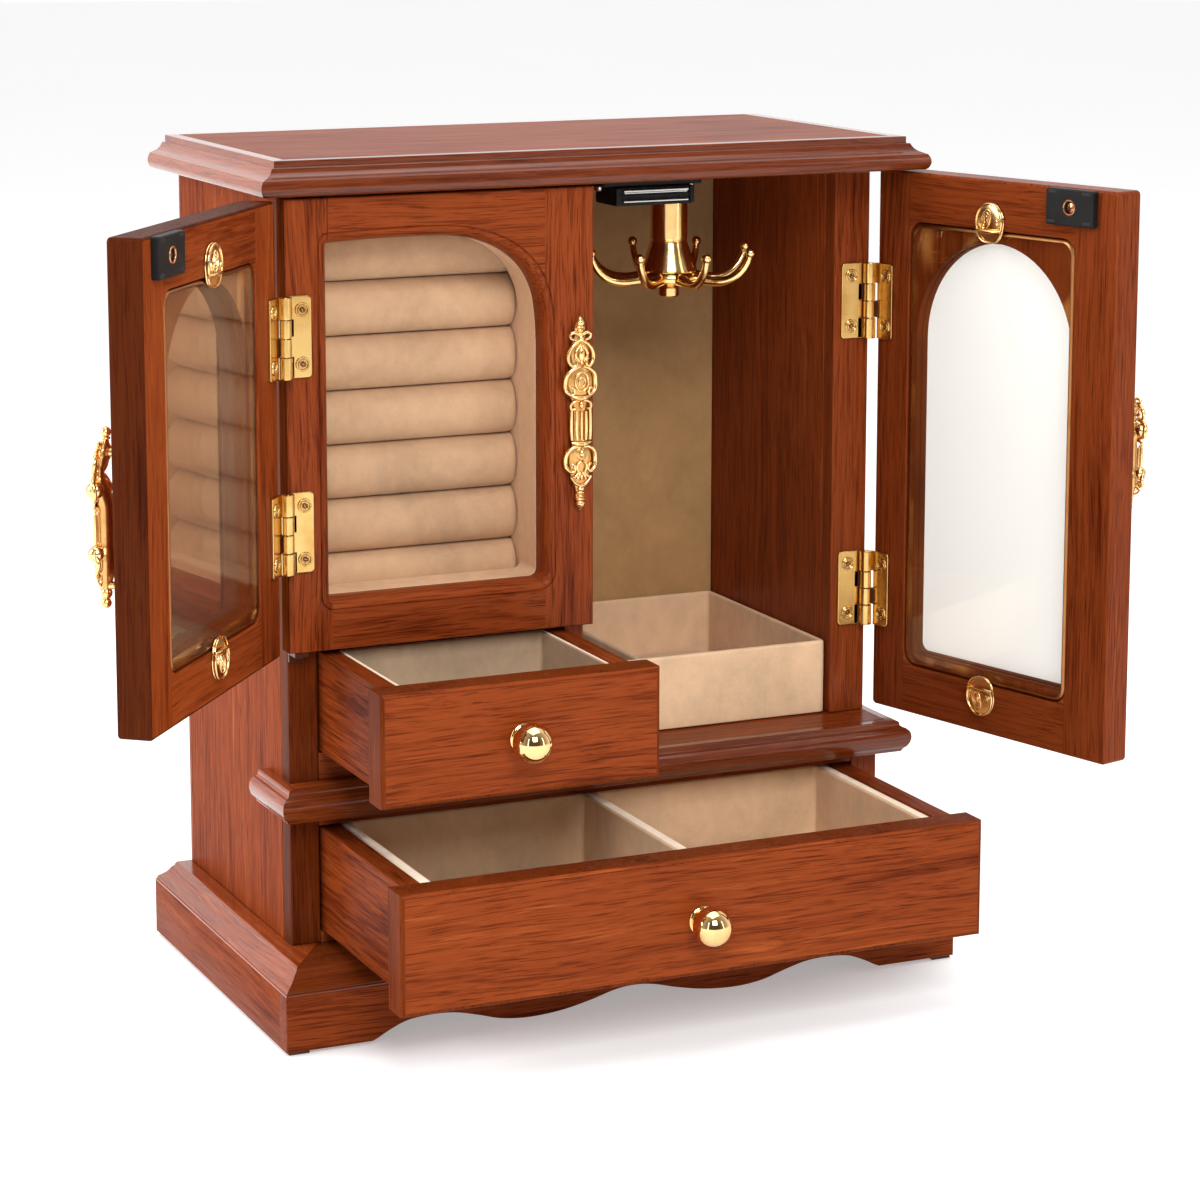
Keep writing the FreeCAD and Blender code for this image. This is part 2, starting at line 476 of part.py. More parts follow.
# ---------------------------------------------------------------- the two outer doors, drawn shut with the pin at the origin
def door(tag, side, ax, ay, angle, gap, wide, low, pocket, pane, centre, apex, archlow, hinges, buttons, strike, handle):
    """side is +1 when the shut door reaches towards +x. Distances along the door start at its hinge edge."""
    def span(a, b):
        a, b = "%s + %s" % (gap, a), "%s + %s" % (gap, b)
        return (a, b) if side > 0 else ("-(%s)" % b, "-(%s)" % a)

    def board(a, b, y0, y1, z0, z1):
        lo, hi = span(a, b)
        return box(lo, hi, "-facegap - (%s)" % y1, "-facegap - (%s)" % y0, z0, z1)

    def put(obj, name):
        whole = group(obj) if obj.TypeId == "Part::Box" else obj
        return sub(at_axis(whole, ax, ay, angle), "%s_%s" % (tag, name))

    a, b = pocket
    z0, z1 = pane
    put(group(board("0", a, "0", "doort", low, "doortop"), board(b, wide, "0", "doort", low, "doortop")), "door_stiles")
    c = span(centre, centre)[0]
    plate = cut(board(a, b, "2.05", "archdepth", z0, z1),
                cyl(c, "-facegap - archdepth - 1", "%s - archrad" % apex, "archrad", "12", "y"),
                board("%s - archrad" % centre, "%s + archrad" % centre, "1", "archdepth + 1", archlow, "%s - archrad" % apex))
    put(group(board(a, b, "0", "doort", z1, "doortop"), board(a, b, "0", "doort", low, z0), plate,
              board(a, b, "archdepth + mirrort", "doort", z0, z1)), "door_rails")
    put(board(a, b, "archdepth", "archdepth + mirrort", z0, z1), "mirror")
    put(board("%s + 0.3" % a, "%s - 0.3" % b, "0.2", "0.2 + panet", "%s + 0.3" % z0, "%s - 0.3" % z1), "clear_pane")
    s0, s1, s2 = strike
    lo, hi = span(s0, s1)
    put(box(lo, hi, "-facegap", "-facegap + strikey", s2, "doortop - 0.3"), "strike_plate")
    screws = [door_hinge(h, side, 0) for h in hinges]
    for pivot, _ in buttons:
        screws.append(fuse(cyl(c, "-facegap", pivot, "screwrad", "buttont + 0.9", "y"),
                           cyl(c, "-facegap + buttont + 0.25", pivot, "2.4", "0.8", "y")))
    put(group(*screws), "hinge_leaves")
    for n, (pivot, up) in enumerate(buttons):
        disc = "%s %s 1.6" % (pivot, "-" if up else "+")
        tip = ("%s - 9.6" % pivot, "%s" % pivot) if up else ("%s" % pivot, "%s + 9.6" % pivot)
        disc = "%s %s 1.6" % (pivot, "-" if up else "+")
        blade = box("%s - 4.5" % c, "%s + 4.5" % c, "-facegap + 0.1", "-facegap + 1.3", tip[0], tip[1])
        but = cut(fuse(cyl(c, "-facegap + 0.1", disc, "buttonrad", "buttont", "y"), blade),
                  cyl(c, "-facegap - 1", pivot, "screwbore", "8", "y"))
        put(but, "turn_button_" + ("top" if up else "bottom"))
    length, mid, reach = handle
    f = feature(tag + "_pull", pull(length, 13, 12.5, V(side * (g(gap) + reach), -g("facegap") - g("doort"), mid)))
    at_axis(f, ax, ay, angle)


door("left", 1, "-leftaxisx", "-leftaxisy", "-leftopen", "leftgap", "leftwide", "doorlow", ("19.5", "105.5"), ("159", "287.3"),
     "62.5", "285", "164", ["242.5", "171.4"], [("292.8", True), ("153.6", False)], ("93", "116", "292"), (63.0, 214.5, 117.0))
door("right", -1, "rightaxisx", "-rightaxisy", "rightopen", "rightgap", "rightwide", "rightlow", ("17", "102"), ("113", "287.5"),
     "60", "282.4", "118", ["240.4", "126.2"], [("292.2", True), ("106.6", False)], ("90", "113", "292.6"), (46.0, 210.0, 115.7))

# ---------------------------------------------------------------- check everything, then write
doc.recompute()
doc.recompute()
bad = [o.Name for o in doc.Objects if any(word in o.State for word in ("Invalid", "Error"))]
if bad:
    raise SystemExit("failed objects: %s" % bad)
names = [o.Label for o in KEEP]
if len(set(names)) != len(names) or len(names) > 60:
    raise SystemExit("labels: %d %s" % (len(names), sorted(n for n in names if names.count(n) > 1)))
for o in KEEP:
    if o.Shape.isNull() or not o.Shape.isValid() or not o.Shape.Solids:
        raise SystemExit("bad shape: %s" % o.Label)
for o in KEEP:
    o.Shape.exportStep("parts/%s.step" % o.Label)
print("pieces:", len(KEEP))
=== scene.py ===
import bpy
import bmesh
import math
import random
from mathutils import Matrix, Vector, noise


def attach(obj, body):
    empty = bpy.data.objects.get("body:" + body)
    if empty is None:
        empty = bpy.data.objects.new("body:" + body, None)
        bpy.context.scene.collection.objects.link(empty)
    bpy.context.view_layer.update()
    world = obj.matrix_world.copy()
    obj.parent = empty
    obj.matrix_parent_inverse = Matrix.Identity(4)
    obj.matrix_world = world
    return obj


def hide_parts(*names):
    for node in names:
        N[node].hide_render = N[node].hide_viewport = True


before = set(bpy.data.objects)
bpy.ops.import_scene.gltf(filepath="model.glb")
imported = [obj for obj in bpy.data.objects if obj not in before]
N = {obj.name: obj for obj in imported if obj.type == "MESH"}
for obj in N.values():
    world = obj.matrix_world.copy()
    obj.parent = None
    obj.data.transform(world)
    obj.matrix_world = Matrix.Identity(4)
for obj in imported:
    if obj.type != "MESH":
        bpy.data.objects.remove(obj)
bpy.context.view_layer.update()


random.seed(11)
SCN = bpy.context.scene
MM = 0.001
SLOTS = {}

# ------------------------------------------------------------------ camera
AZ, EL, ROLL = math.radians(-23.44), math.radians(9.43), math.radians(-0.14)
back = Vector((math.sin(AZ) * math.cos(EL), -math.cos(AZ) * math.cos(EL), math.sin(EL)))
right = (-back).cross(Vector((0, 0, 1))).normalized()
up = right.cross(-back)
r_ax = math.cos(ROLL) * right + math.sin(ROLL) * up
u_ax = -math.sin(ROLL) * right + math.cos(ROLL) * up
cam = bpy.data.cameras.new("view")
cam.lens, cam.sensor_width, cam.sensor_fit = 102.03, 36.0, "HORIZONTAL"
cam.shift_x, cam.shift_y = 0.06, -0.15
cam.clip_start, cam.clip_end = 0.05, 60.0
cam.dof.use_dof = False
cam_ob = bpy.data.objects.new("view", cam)
SCN.collection.objects.link(cam_ob)
m = Matrix((r_ax, u_ax, back)).transposed().to_4x4()
m.translation = Vector((-0.5233, -1.1863, 0.4265))
cam_ob.matrix_world = m
SCN.camera = cam_ob


# ------------------------------------------------------------------ materials
class Nodes:
    """A small hand for building node trees."""

    def __init__(self, name):
        self.mat = bpy.data.materials.new(name)
        self.mat.use_nodes = True
        self.t = self.mat.node_tree
        self.t.nodes.clear()
        self.out = self.t.nodes.new("ShaderNodeOutputMaterial")
        self.p = self.t.nodes.new("ShaderNodeBsdfPrincipled")
        self.t.links.new(self.p.outputs[0], self.out.inputs[0])

    def new(self, kind, **props):
        n = self.t.nodes.new(kind)
        for k, v in props.items():
            setattr(n, k, v)
        return n

    def link(self, a, b):
        self.t.links.new(a, b)

    def put(self, socket, value):
        if hasattr(value, "is_linked") or hasattr(value, "links"):
            self.link(value, socket)
        else:
            socket.default_value = value

    def math(self, op, a, b=None, c=None, clamp=False):
        n = self.new("ShaderNodeMath", operation=op, use_clamp=clamp)
        self.put(n.inputs[0], a)
        if b is not None:
            self.put(n.inputs[1], b)
        if c is not None:
            self.put(n.inputs[2], c)
        return n.outputs[0]

    def vmath(self, op, a, b=None):
        n = self.new("ShaderNodeVectorMath", operation=op)
        self.put(n.inputs[0], a)
        if b is not None:
            self.put(n.inputs[1], b)
        return n.outputs[0]

    def noise(self, vec, scale, detail=3.0, rough=0.55, distort=0.0):
        n = self.new("ShaderNodeTexNoise")
        self.link(vec, n.inputs["Vector"])
        n.inputs["Scale"].default_value = scale
        n.inputs["Detail"].default_value = detail
        n.inputs["Roughness"].default_value = rough
        n.inputs["Distortion"].default_value = distort
        return n.outputs["Fac"]

    def ramp(self, fac, stops, mode="LINEAR"):
        n = self.new("ShaderNodeValToRGB")
        n.color_ramp.interpolation = mode
        e = n.color_ramp.elements
        while len(e) > 1:
            e.remove(e[-1])
        e[0].position, e[0].color = stops[0][0], tuple(stops[0][1]) + (1.0,)
        for pos, col in stops[1:]:
            x = e.new(pos)
            x.color = tuple(col) + (1.0,)
        self.link(fac, n.inputs[0])
        return n.outputs[0]

    def span(self, fac, a0, a1, b0, b1):
        n = self.new("ShaderNodeMapRange")
        self.link(fac, n.inputs[0])
        for i, v in enumerate((a0, a1, b0, b1)):
            n.inputs[1 + i].default_value = v
        return n.outputs[0]

    def mix(self, fac, a, b, kind="RGBA", blend="MIX"):
        n = self.new("ShaderNodeMix", data_type=kind)
        if kind == "RGBA":
            n.blend_type = blend
        idx = {"FLOAT": (2, 3), "VECTOR": (4, 5), "RGBA": (6, 7)}[kind]
        self.put(n.inputs[0], fac)
        self.put(n.inputs[idx[0]], a)
        self.put(n.inputs[idx[1]], b)
        return n.outputs[{"FLOAT": 0, "VECTOR": 1, "RGBA": 2}[kind]]

    def bump(self, height, strength, distance):
        n = self.new("ShaderNodeBump")
        n.inputs["Strength"].default_value = strength
        n.inputs["Distance"].default_value = distance
        self.link(height, n.inputs["Height"])
        return n.outputs[0]

    def set(self, **kw):
        for k, v in kw.items():
            self.put(self.p.inputs[k.replace("_", " ")], v)


def swap(b, xyz, grain):
    """Coordinates with the first axis along the grain."""
    c = b.new("ShaderNodeCombineXYZ")
    order = {"x": (0, 1, 2), "y": (1, 0, 2), "z": (2, 1, 0)}[grain]
    for i, k in enumerate(order):
        b.link(xyz.outputs[k], c.inputs[i])
    return c.outputs[0]


WOOD_DARK, WOOD_MID, WOOD_LIGHT = (0.112, 0.0150, 0.0028), (0.255, 0.0475, 0.0095), (0.43, 0.100, 0.022)


def wood(name, grain="x", other=None, centre=0.0, half=0.0, seed=0.0, tone=1.0, red=1.0, gloss=0.30, axis=0, spec=0.05, coat=0.05, marked=1.0, painted_glint=0.0):
    """Stained wood with its grain along one axis, and along another beyond a distance from the middle line."""
    b = Nodes(name)
    co = b.new("ShaderNodeTexCoord").outputs["Object"]
    xyz = b.new("ShaderNodeSeparateXYZ")
    b.link(co, xyz.inputs[0])
    g = swap(b, xyz, grain)
    if other:
        far = b.math("GREATER_THAN", b.math("ABSOLUTE", b.math("SUBTRACT", xyz.outputs[axis], centre)), half)
        g = b.mix(far, g, b.vmath("ADD", swap(b, xyz, other), (0.37, 0.21, 0.11)), "VECTOR")
    g = b.vmath("ADD", g, (seed * 0.731, seed * 0.377, seed * 0.519))
    # the board's slow wander, so that the grain isn't ruled
    wander = b.new("ShaderNodeTexNoise")
    b.link(b.vmath("MULTIPLY", g, (7.0, 16.0, 16.0)), wander.inputs["Vector"])
    wander.inputs["Scale"].default_value = 1.0
    wander.inputs["Detail"].default_value = 2.0
    g2 = b.vmath("ADD", g, b.vmath("MULTIPLY", wander.outputs["Color"], (0.0, 0.010, 0.010)))
    figure = b.noise(b.vmath("MULTIPLY", g2, (6.0, 95.0, 95.0)), 1.0, 3.0, 0.6, 0.6)
    fibre = b.noise(b.vmath("MULTIPLY", g2, (20.0, 560.0, 560.0)), 1.0, 4.0, 0.70)
    streak = b.noise(b.vmath("MULTIPLY", g2, (30.0, 1150.0, 1150.0)), 1.0, 2.0, 0.5, 0.3)
    pore = b.noise(b.vmath("MULTIPLY", g2, (60.0, 1900.0, 1900.0)), 1.0, 2.0, 0.5)
    slow = b.noise(b.vmath("MULTIPLY", g, (9.0, 22.0, 22.0)), 1.0, 2.0, 0.5)
    v = b.math("MULTIPLY", figure, 0.40)
    v = b.math("MULTIPLY_ADD", fibre, 0.46, v)
    v = b.math("MULTIPLY_ADD", slow, 0.28, v)
    d, c, l = [tuple(x * tone * (red if i == 0 else 1.0) for i, x in enumerate(col)) for col in (WOOD_DARK, WOOD_MID, WOOD_LIGHT)]
    col = b.ramp(v, [(0.42, d), (0.555, c), (0.64, c), (0.78, l)])

    def faint(x):
        return tuple(1.0 - (1.0 - k) * marked for k in x)

    marks = b.ramp(pore, [(0.0, faint((0.40, 0.33, 0.30))), (0.36, faint((0.52, 0.45, 0.42))), (0.45, (1, 1, 1))])
    col = b.mix(1.0, col, marks, "RGBA", "MULTIPLY")
    dark = b.ramp(streak, [(0.0, faint((0.42, 0.34, 0.31))), (0.36, faint((0.58, 0.50, 0.46))), (0.47, faint((0.92, 0.90, 0.88))), (0.62, (1, 1, 1))])
    col = b.mix(1.0, col, dark, "RGBA", "MULTIPLY")
    if painted_glint:
        # painted glint: soft golden patches mixed into the colour stand in for light reflected off the clear sheet
        # above
        painted_glow = b.noise(b.vmath("MULTIPLY", g, (34.0, 30.0, 46.0)), 1.0, 1.0, 0.4, 0.8)
        col = b.mix(b.span(painted_glow, 0.53, 0.72, 0.0, painted_glint), col, (0.46, 0.19, 0.045, 1.0), "RGBA")
    b.link(col, b.p.inputs["Base Color"])
    b.link(b.span(fibre, 0.3, 0.75, gloss + 0.10, gloss - 0.03), b.p.inputs["Roughness"])
    b.set(Specular_IOR_Level=spec, Coat_Weight=coat, Coat_Roughness=0.12, Coat_IOR=1.4)
    h = b.math("MULTIPLY_ADD", pore, 0.6, b.math("MULTIPLY", fibre, 0.4))
    b.link(b.bump(h, 0.22, 0.00012), b.p.inputs["Normal"])
    return b.mat


def velvet(name, base, seed=0.0, sheen=0.45, pile=1.0):
    """Flocked cloth: short pile, slightly brushed in patches."""
    b = Nodes(name)
    co = b.new("ShaderNodeTexCoord").outputs["Object"]
    co = b.vmath("ADD", co, (seed * 0.3, seed * 0.7, seed * 0.2))
    brushed = b.noise(b.vmath("MULTIPLY", co, (28.0, 28.0, 20.0)), 1.0, 3.0, 0.6, 0.8)
    nap = b.noise(b.vmath("MULTIPLY", co, (190.0, 190.0, 150.0)), 1.0, 3.0, 0.6)
    fluff = b.noise(co, 2600.0, 2.0, 0.6)
    v = b.math("MULTIPLY_ADD", brushed, 0.55, b.math("MULTIPLY", nap, 0.30))
    v = b.math("MULTIPLY_ADD", fluff, 0.22, v)
    lo, hi = tuple(x * 0.80 for x in base), tuple(min(1.0, x * 1.16) for x in base)
    b.link(b.ramp(v, [(0.36, lo), (0.54, base), (0.72, hi)]), b.p.inputs["Base Color"])
    b.set(Roughness=0.92, Specular_IOR_Level=0.12, Sheen_Weight=sheen, Sheen_Roughness=0.38)
    b.p.inputs["Sheen Tint"].default_value = (1.0, 0.90, 0.78, 1.0)
    h = b.math("MULTIPLY_ADD", nap, 0.5, b.math("MULTIPLY", fluff, 0.5))
    b.link(b.bump(h, 0.45 * pile, 0.00035), b.p.inputs["Normal"])
    return b.mat


def brass(name, rough=0.13, base=(0.90, 0.61, 0.28), seed=0.0, worn=0.5):
    b = Nodes(name)
    co = b.new("ShaderNodeTexCoord").outputs["Object"]
    co = b.vmath("ADD", co, (seed, seed * 0.5, seed * 0.25))
    tarnish = b.noise(co, 85.0, 4.0, 0.6)
    fine = b.noise(co, 900.0, 2.0, 0.5)
    dark = tuple(x * k for x, k in zip(base, (0.86, 0.76, 0.62)))
    b.link(b.ramp(tarnish, [(0.30, dark), (0.55, base)]), b.p.inputs["Base Color"])
    b.link(b.span(tarnish, 0.3, 0.7, rough + 0.07 * worn, rough), b.p.inputs["Roughness"])
    b.set(Metallic=1.0)
    b.link(b.bump(fine, 0.06 * worn, 0.00008), b.p.inputs["Normal"])
    return b.mat


def plain(name, base, rough, metallic=0.0, scale=600.0, vary=0.12, bump=0.1, depth=0.0001, spec=0.5):
    """Moulded plastic, steel or rubber with a fine surface."""
    b = Nodes(name)
    co = b.new("ShaderNodeTexCoord").outputs["Object"]
    grit = b.noise(co, scale, 3.0, 0.6)
    cloud = b.noise(co, scale * 0.05, 2.0, 0.5)
    lo, hi = tuple(x * (1 - vary) for x in base), tuple(min(1.0, x * (1 + vary)) for x in base)
    b.link(b.ramp(cloud, [(0.35, lo), (0.65, hi)]), b.p.inputs["Base Color"])
    b.link(b.span(grit, 0.3, 0.7, rough * 1.15, rough * 0.88), b.p.inputs["Roughness"])
    b.set(Metallic=metallic, Specular_IOR_Level=spec)
    b.link(b.bump(grit, bump, depth), b.p.inputs["Normal"])
    return b.mat


def mirror(name, metal=1.0, lo=(0.90, 0.905, 0.90), hi=(0.935, 0.94, 0.935), rough=0.012, painted_glow=0.0):
    b = Nodes(name)
    co = b.new("ShaderNodeTexCoord").outputs["Object"]
    haze = b.noise(co, 9.0, 3.0, 0.5)
    b.link(b.ramp(haze, [(0.3, lo), (0.7, hi)]), b.p.inputs["Base Color"])
    b.link(b.span(haze, 0.3, 0.7, rough, rough * 0.4), b.p.inputs["Roughness"])
    b.set(Metallic=metal)
    if painted_glow:
        # painted glow: emission stands in for the studio's brightness reflected in the glass, strongest at its upper
        # hinge side
        xyz = b.new("ShaderNodeSeparateXYZ")
        b.link(co, xyz.inputs[0])
        up = b.math("MULTIPLY_ADD", xyz.outputs[2], 1.4, b.math("MULTIPLY", xyz.outputs[0], 1.5))
        b.link(b.span(up, -0.05, 0.38, painted_glow * 0.45, painted_glow * 1.15), b.p.inputs["Emission Strength"])
        b.p.inputs["Emission Color"].default_value = (0.94, 0.97, 1.0, 1.0)
    return b.mat


def clear(name, tint, seen, rough):
    """Clear sheet: most light goes straight through, the rest is a sharp reflection."""
    b = Nodes(name)
    co = b.new("ShaderNodeTexCoord").outputs["Object"]
    wave = b.noise(co, 30.0, 2.0, 0.5)
    glossy = b.new("ShaderNodeBsdfGlossy")
    glossy.inputs["Color"].default_value = (1.0, 0.98, 0.95, 1.0)
    b.link(b.span(wave, 0.3, 0.7, rough, rough * 0.5), glossy.inputs["Roughness"])
    b.link(b.bump(wave, 0.08, 0.0004), glossy.inputs["Normal"])
    clearer = b.new("ShaderNodeBsdfTransparent")
    clearer.inputs["Color"].default_value = tint + (1.0,)
    facing = b.new("ShaderNodeLayerWeight")
    facing.inputs["Blend"].default_value = 0.5
    mixer = b.new("ShaderNodeMixShader")
    b.link(b.math("MULTIPLY_ADD", b.math("POWER", facing.outputs["Facing"], 4.0), seen, 0.03, clamp=True), mixer.inputs[0])
    b.link(clearer.outputs[0], mixer.inputs[1])
    b.link(glossy.outputs[0], mixer.inputs[2])
    b.link(mixer.outputs[0], b.out.inputs[0])
    b.t.nodes.remove(b.p)
    return b.mat


CREAM = (0.69, 0.50, 0.335)
W = {
    "x": wood("wood_along_x", "x", seed=0.0, marked=0.8),
    "x2": wood("wood_along_x_b", "x", seed=2.3, tone=0.86, coat=0.10, marked=0.9),
    "apron": wood("wood_apron", "x", seed=2.9, tone=0.82, spec=0.03, coat=0.03, marked=0.9),
    "top": wood("wood_top_board", "x", seed=1.6, tone=0.88, spec=0.02, coat=0.02, marked=0.7),
    "y": wood("wood_drawer_sides", "y", seed=1.1, tone=0.80, spec=0.015, coat=0.02, marked=0.9),
    "z": wood("wood_along_z", "z", seed=3.7, marked=0.8),
    "side": wood("wood_side_board", "z", seed=3.1, tone=1.02, spec=0.01, coat=0.012, marked=0.9),
    "z2": wood("wood_along_z_b", "z", seed=5.2, marked=0.8),
    "post": wood("wood_posts", "z", seed=5.9, tone=0.80, marked=0.7),
    # left post: a much darker copy of the wood, painted shade cast by the open left door
    "shade": wood("wood_post_left_painted_shade", "z", seed=6.7, tone=0.45, spec=0.02, coat=0.02, marked=0.7),
    "front": wood("wood_drawer_front", "x", seed=7.9, tone=0.94, gloss=0.33, spec=0.04, coat=0.04, marked=0.8),
    # drawer front edges: a darker copy of the front's wood, painted shade on the faces turned from the light
    "front_edge": wood("wood_drawer_front_edge_painted_shade", "z", seed=7.2, tone=0.60, gloss=0.35, spec=0.015, coat=0.02, marked=0.5),
    "plinth": wood("wood_plinth_boards", "x", other="y", centre=0.0, half=0.1295, seed=6.1, tone=0.90, spec=0.02, coat=0.02, marked=0.7),
    "inner": wood("wood_inner_door", "x", other="z", centre=-0.06635, half=0.04215, seed=8.8, tone=0.92, coat=0.06, marked=0.9),
    # inner door's left edge: a dark copy of the wood, painted shade where the open left door shadows it
    "inner_edge_shade": wood("wood_inner_door_edge_painted_shade", "z", seed=8.1, tone=0.35, gloss=0.6, spec=0.0, coat=0.0),
    # the left door's edges (tone 0.29) and the right door's wood and edges are darker copies of the door wood: painted
    # shade on faces turned from the light
    "left": wood("wood_left_door", "x", other="z", centre=0.0641, half=0.0430, seed=9.9, tone=0.96, spec=0.02, coat=0.03, marked=0.7),
    "left_edge": wood("wood_left_door_edge", "z", seed=9.2, tone=0.29, gloss=0.4, spec=0.02, coat=0.03, marked=0.6),
    "right": wood("wood_right_door", "x", other="z", centre=-0.06096, half=0.0425, seed=12.7, tone=0.70, coat=0.06, marked=0.7),
    "right_edge": wood("wood_right_door_edge", "z", seed=12.2, tone=0.76, coat=0.06, marked=0.8),
    # the golden patches on this wood are a painted glint of the clear sheet's reflections
    "amber": wood("wood_under_pane", "z", seed=14.2, tone=0.66, red=0.95, gloss=0.16, spec=0.4, coat=0.9, marked=0.25, painted_glint=0.7),
    # mouldings: the front runs take a darker and the side runs a lighter copy of one wood, painted shade in front and
    # painted sheen on the sides
    "mould_x": wood("wood_moulding_front_shaded", "x", seed=15.5, tone=0.58, gloss=0.20, spec=0.15, coat=0.6, marked=0.7),
    "mould_y": wood("wood_moulding_side_lit", "y", seed=16.1, tone=1.16, gloss=0.20, spec=0.15, coat=0.8, marked=0.7),
}
V_TRAY = velvet("velvet_tray", (0.72, 0.49, 0.305), 1.0)
V_ROLL = velvet("velvet_rolls", (0.515, 0.325, 0.192), 2.0, sheen=0.3)
V_CHEEK = velvet("velvet_cheeks", (0.66, 0.43, 0.265), 3.1, sheen=0.2)
V_WALL = velvet("velvet_walls", (0.68, 0.47, 0.295), 3.0, sheen=0.3)
# darker copy of the wall cloth for the upper drawer: painted shade of its interior
V_WALL_SHADED = velvet("velvet_walls_upper_painted_shade", (0.46, 0.335, 0.225), 3.2, sheen=0.25)
# darker, browner copy of the cloth for the back lining: painted shade of the recess
V_BACK_SHADED = velvet("velvet_back_painted_shade", (0.40, 0.228, 0.097), 3.5, sheen=0.12)
# much lighter copy of the cloth for the linings' top rims: painted light on the lit edges
V_EDGE_LIT = velvet("velvet_edges_painted_light", (0.96, 0.78, 0.60), 4.0, sheen=0.6)
BRASS = brass("brass_polished")
BRASS_LEAF = brass("brass_leaves", rough=0.20, base=(0.68, 0.435, 0.155), seed=0.7, worn=0.6)
BRASS_ARM = brass("brass_arms", rough=0.16, base=(0.93, 0.63, 0.27), seed=1.1, worn=0.4)
BRASS_KNOB = brass("brass_knob", rough=0.055, base=(0.90, 0.58, 0.26), seed=0.4, worn=0.2)
BRASS_CAST = brass("brass_cast", rough=0.17, base=(0.93, 0.63, 0.29), seed=0.9, worn=1.0)
# dark bronze: the real colour of the pivot brackets, and painted shade in hinge notches and screw centres
BRONZE_AND_SLOT_SHADE = plain("bronzed_bracket_and_slot_shade", (0.10, 0.022, 0.008), 0.35, metallic=0.3, scale=700.0, vary=0.3)
# darker brass for the casting's body and hollows; in the screws it is painted shade round the head
BRASS_DEEP = brass("brass_cast_hollows", rough=0.26, base=(0.66, 0.39, 0.145), seed=1.9, worn=1.0)
COPPER = brass("copper_ring", rough=0.25, base=(0.62, 0.30, 0.16), seed=1.3)
STEEL = plain("steel_bright", (0.62, 0.60, 0.57), 0.24, metallic=1.0, scale=900.0, bump=0.05)
BLACK = plain("plastic_black", (0.0085, 0.0083, 0.0085), 0.45, scale=1400.0, vary=0.25, bump=0.12, spec=0.18)
DARK = plain("recess_dark", (0.006, 0.005, 0.005), 0.6, scale=900.0)
RUBBER = plain("rubber_pad", (0.060, 0.020, 0.009), 0.80, scale=1800.0, vary=0.2, bump=0.3)
# left mirror: a dimmed, warm tint and a tenth of diffuse colour, a painted reflection of the warm interior
MIRROR_L = mirror("mirror_left", 0.90, (0.62, 0.49, 0.42), (0.66, 0.53, 0.46), 0.05)
# right mirror: a pale, almost diffuse colour and an emitted glow, a painted reflection of a bright surround
MIRROR_R_PAINTED = mirror("mirror_right_painted_reflection", 0.05, (0.73, 0.79, 0.86), (0.77, 0.83, 0.90), 0.10, painted_glow=0.37)
PANE = clear("clear_face", (0.985, 0.965, 0.93), 0.5, 0.03)
# amber metal for the clear pane's rim: a painted glint standing in for light refracted in the sheet's edge
PANE_RIM_GLINT = brass("clear_rim_painted_glint", rough=0.30, base=(0.36, 0.155, 0.055), seed=2.2, worn=0.3)
ARCH_WALL = plain("arch_wall", (0.105, 0.026, 0.007), 0.5, scale=300.0, vary=0.35, spec=0.03)


# ------------------------------------------------------------------ outlines, millimetres
def area2(loop):
    return sum(a[0] * b[1] - b[0] * a[1] for a, b in zip(loop, loop[1:] + loop[:1]))


def ccw(loop):
    return loop if area2(loop) > 0 else loop[::-1]


def rect(x0, x1, z0, z1, r=0.0, n=7):
    """Rectangle with rounded corners; r is one radius or four, starting low left and going round."""
    rs = [r] * 4 if not isinstance(r, (list, tuple)) else list(r)
    out = []
    for (cx, cz, a0), rr in zip(((x0, z0, 180), (x1, z0, 270), (x1, z1, 0), (x0, z1, 90)), rs):
        if rr <= 0:
            out.append((cx, cz))
            continue
        ox = cx + rr * (1 if cx == x0 else -1)
        oz = cz + rr * (1 if cz == z0 else -1)
        for i in range(n + 1):
            a = math.radians(a0 + 90.0 * i / n)
            out.append((ox + rr * math.cos(a), oz + rr * math.sin(a)))
    return out


def spline(points, n=8):
    """Smooth line through points."""
    pts = [Vector(p) for p in points]
    ext = [pts[0] * 2 - pts[1]] + pts + [pts[-1] * 2 - pts[-2]]
    out = []
    for i in range(1, len(ext) - 2):
        p0, p1, p2, p3 = ext[i - 1:i + 3]
        for k in range(n):
            t = k / n
            out.append(tuple(0.5 * ((2 * p1) + (p2 - p0) * t + (2 * p0 - 5 * p1 + 4 * p2 - p3) * t * t + (3 * p1 - p0 - 3 * p2 + p3) * t ** 3)))
    out.append(tuple(pts[-1]))
    return out


def grow(loop, d):
    """The loop moved outwards by d along its mitred normals."""
    n = len(loop)
    out = []
    for i in range(n):
        a, b, c = loop[i - 1], loop[i], loop[(i + 1) % n]
        e1 = Vector((b[0] - a[0], b[1] - a[1]))
        e2 = Vector((c[0] - b[0], c[1] - b[1]))
        if e1.length < 1e-9 or e2.length < 1e-9:
            out.append(b)
            continue
        n1 = Vector((e1.y, -e1.x)).normalized()
        n2 = Vector((e2.y, -e2.x)).normalized()
        k = n1 + n2
        k = k / max(0.35, k.length_squared / 2)
        out.append((b[0] + k.x * d, b[1] + k.y * d))
    return out


EASE = [(1.0, 0.0), (0.62, 0.08), (0.30, 0.30), (0.08, 0.62), (0.0, 1.0)]


def eased(r, depth, back=None):
    """Profile of a board edge, rounded r in front and back."""
    back = r if back is None else back
    out = [(o * r, d * r) for o, d in EASE]
    return out + [(o * back, depth - d * back) for o, d in reversed(EASE)]


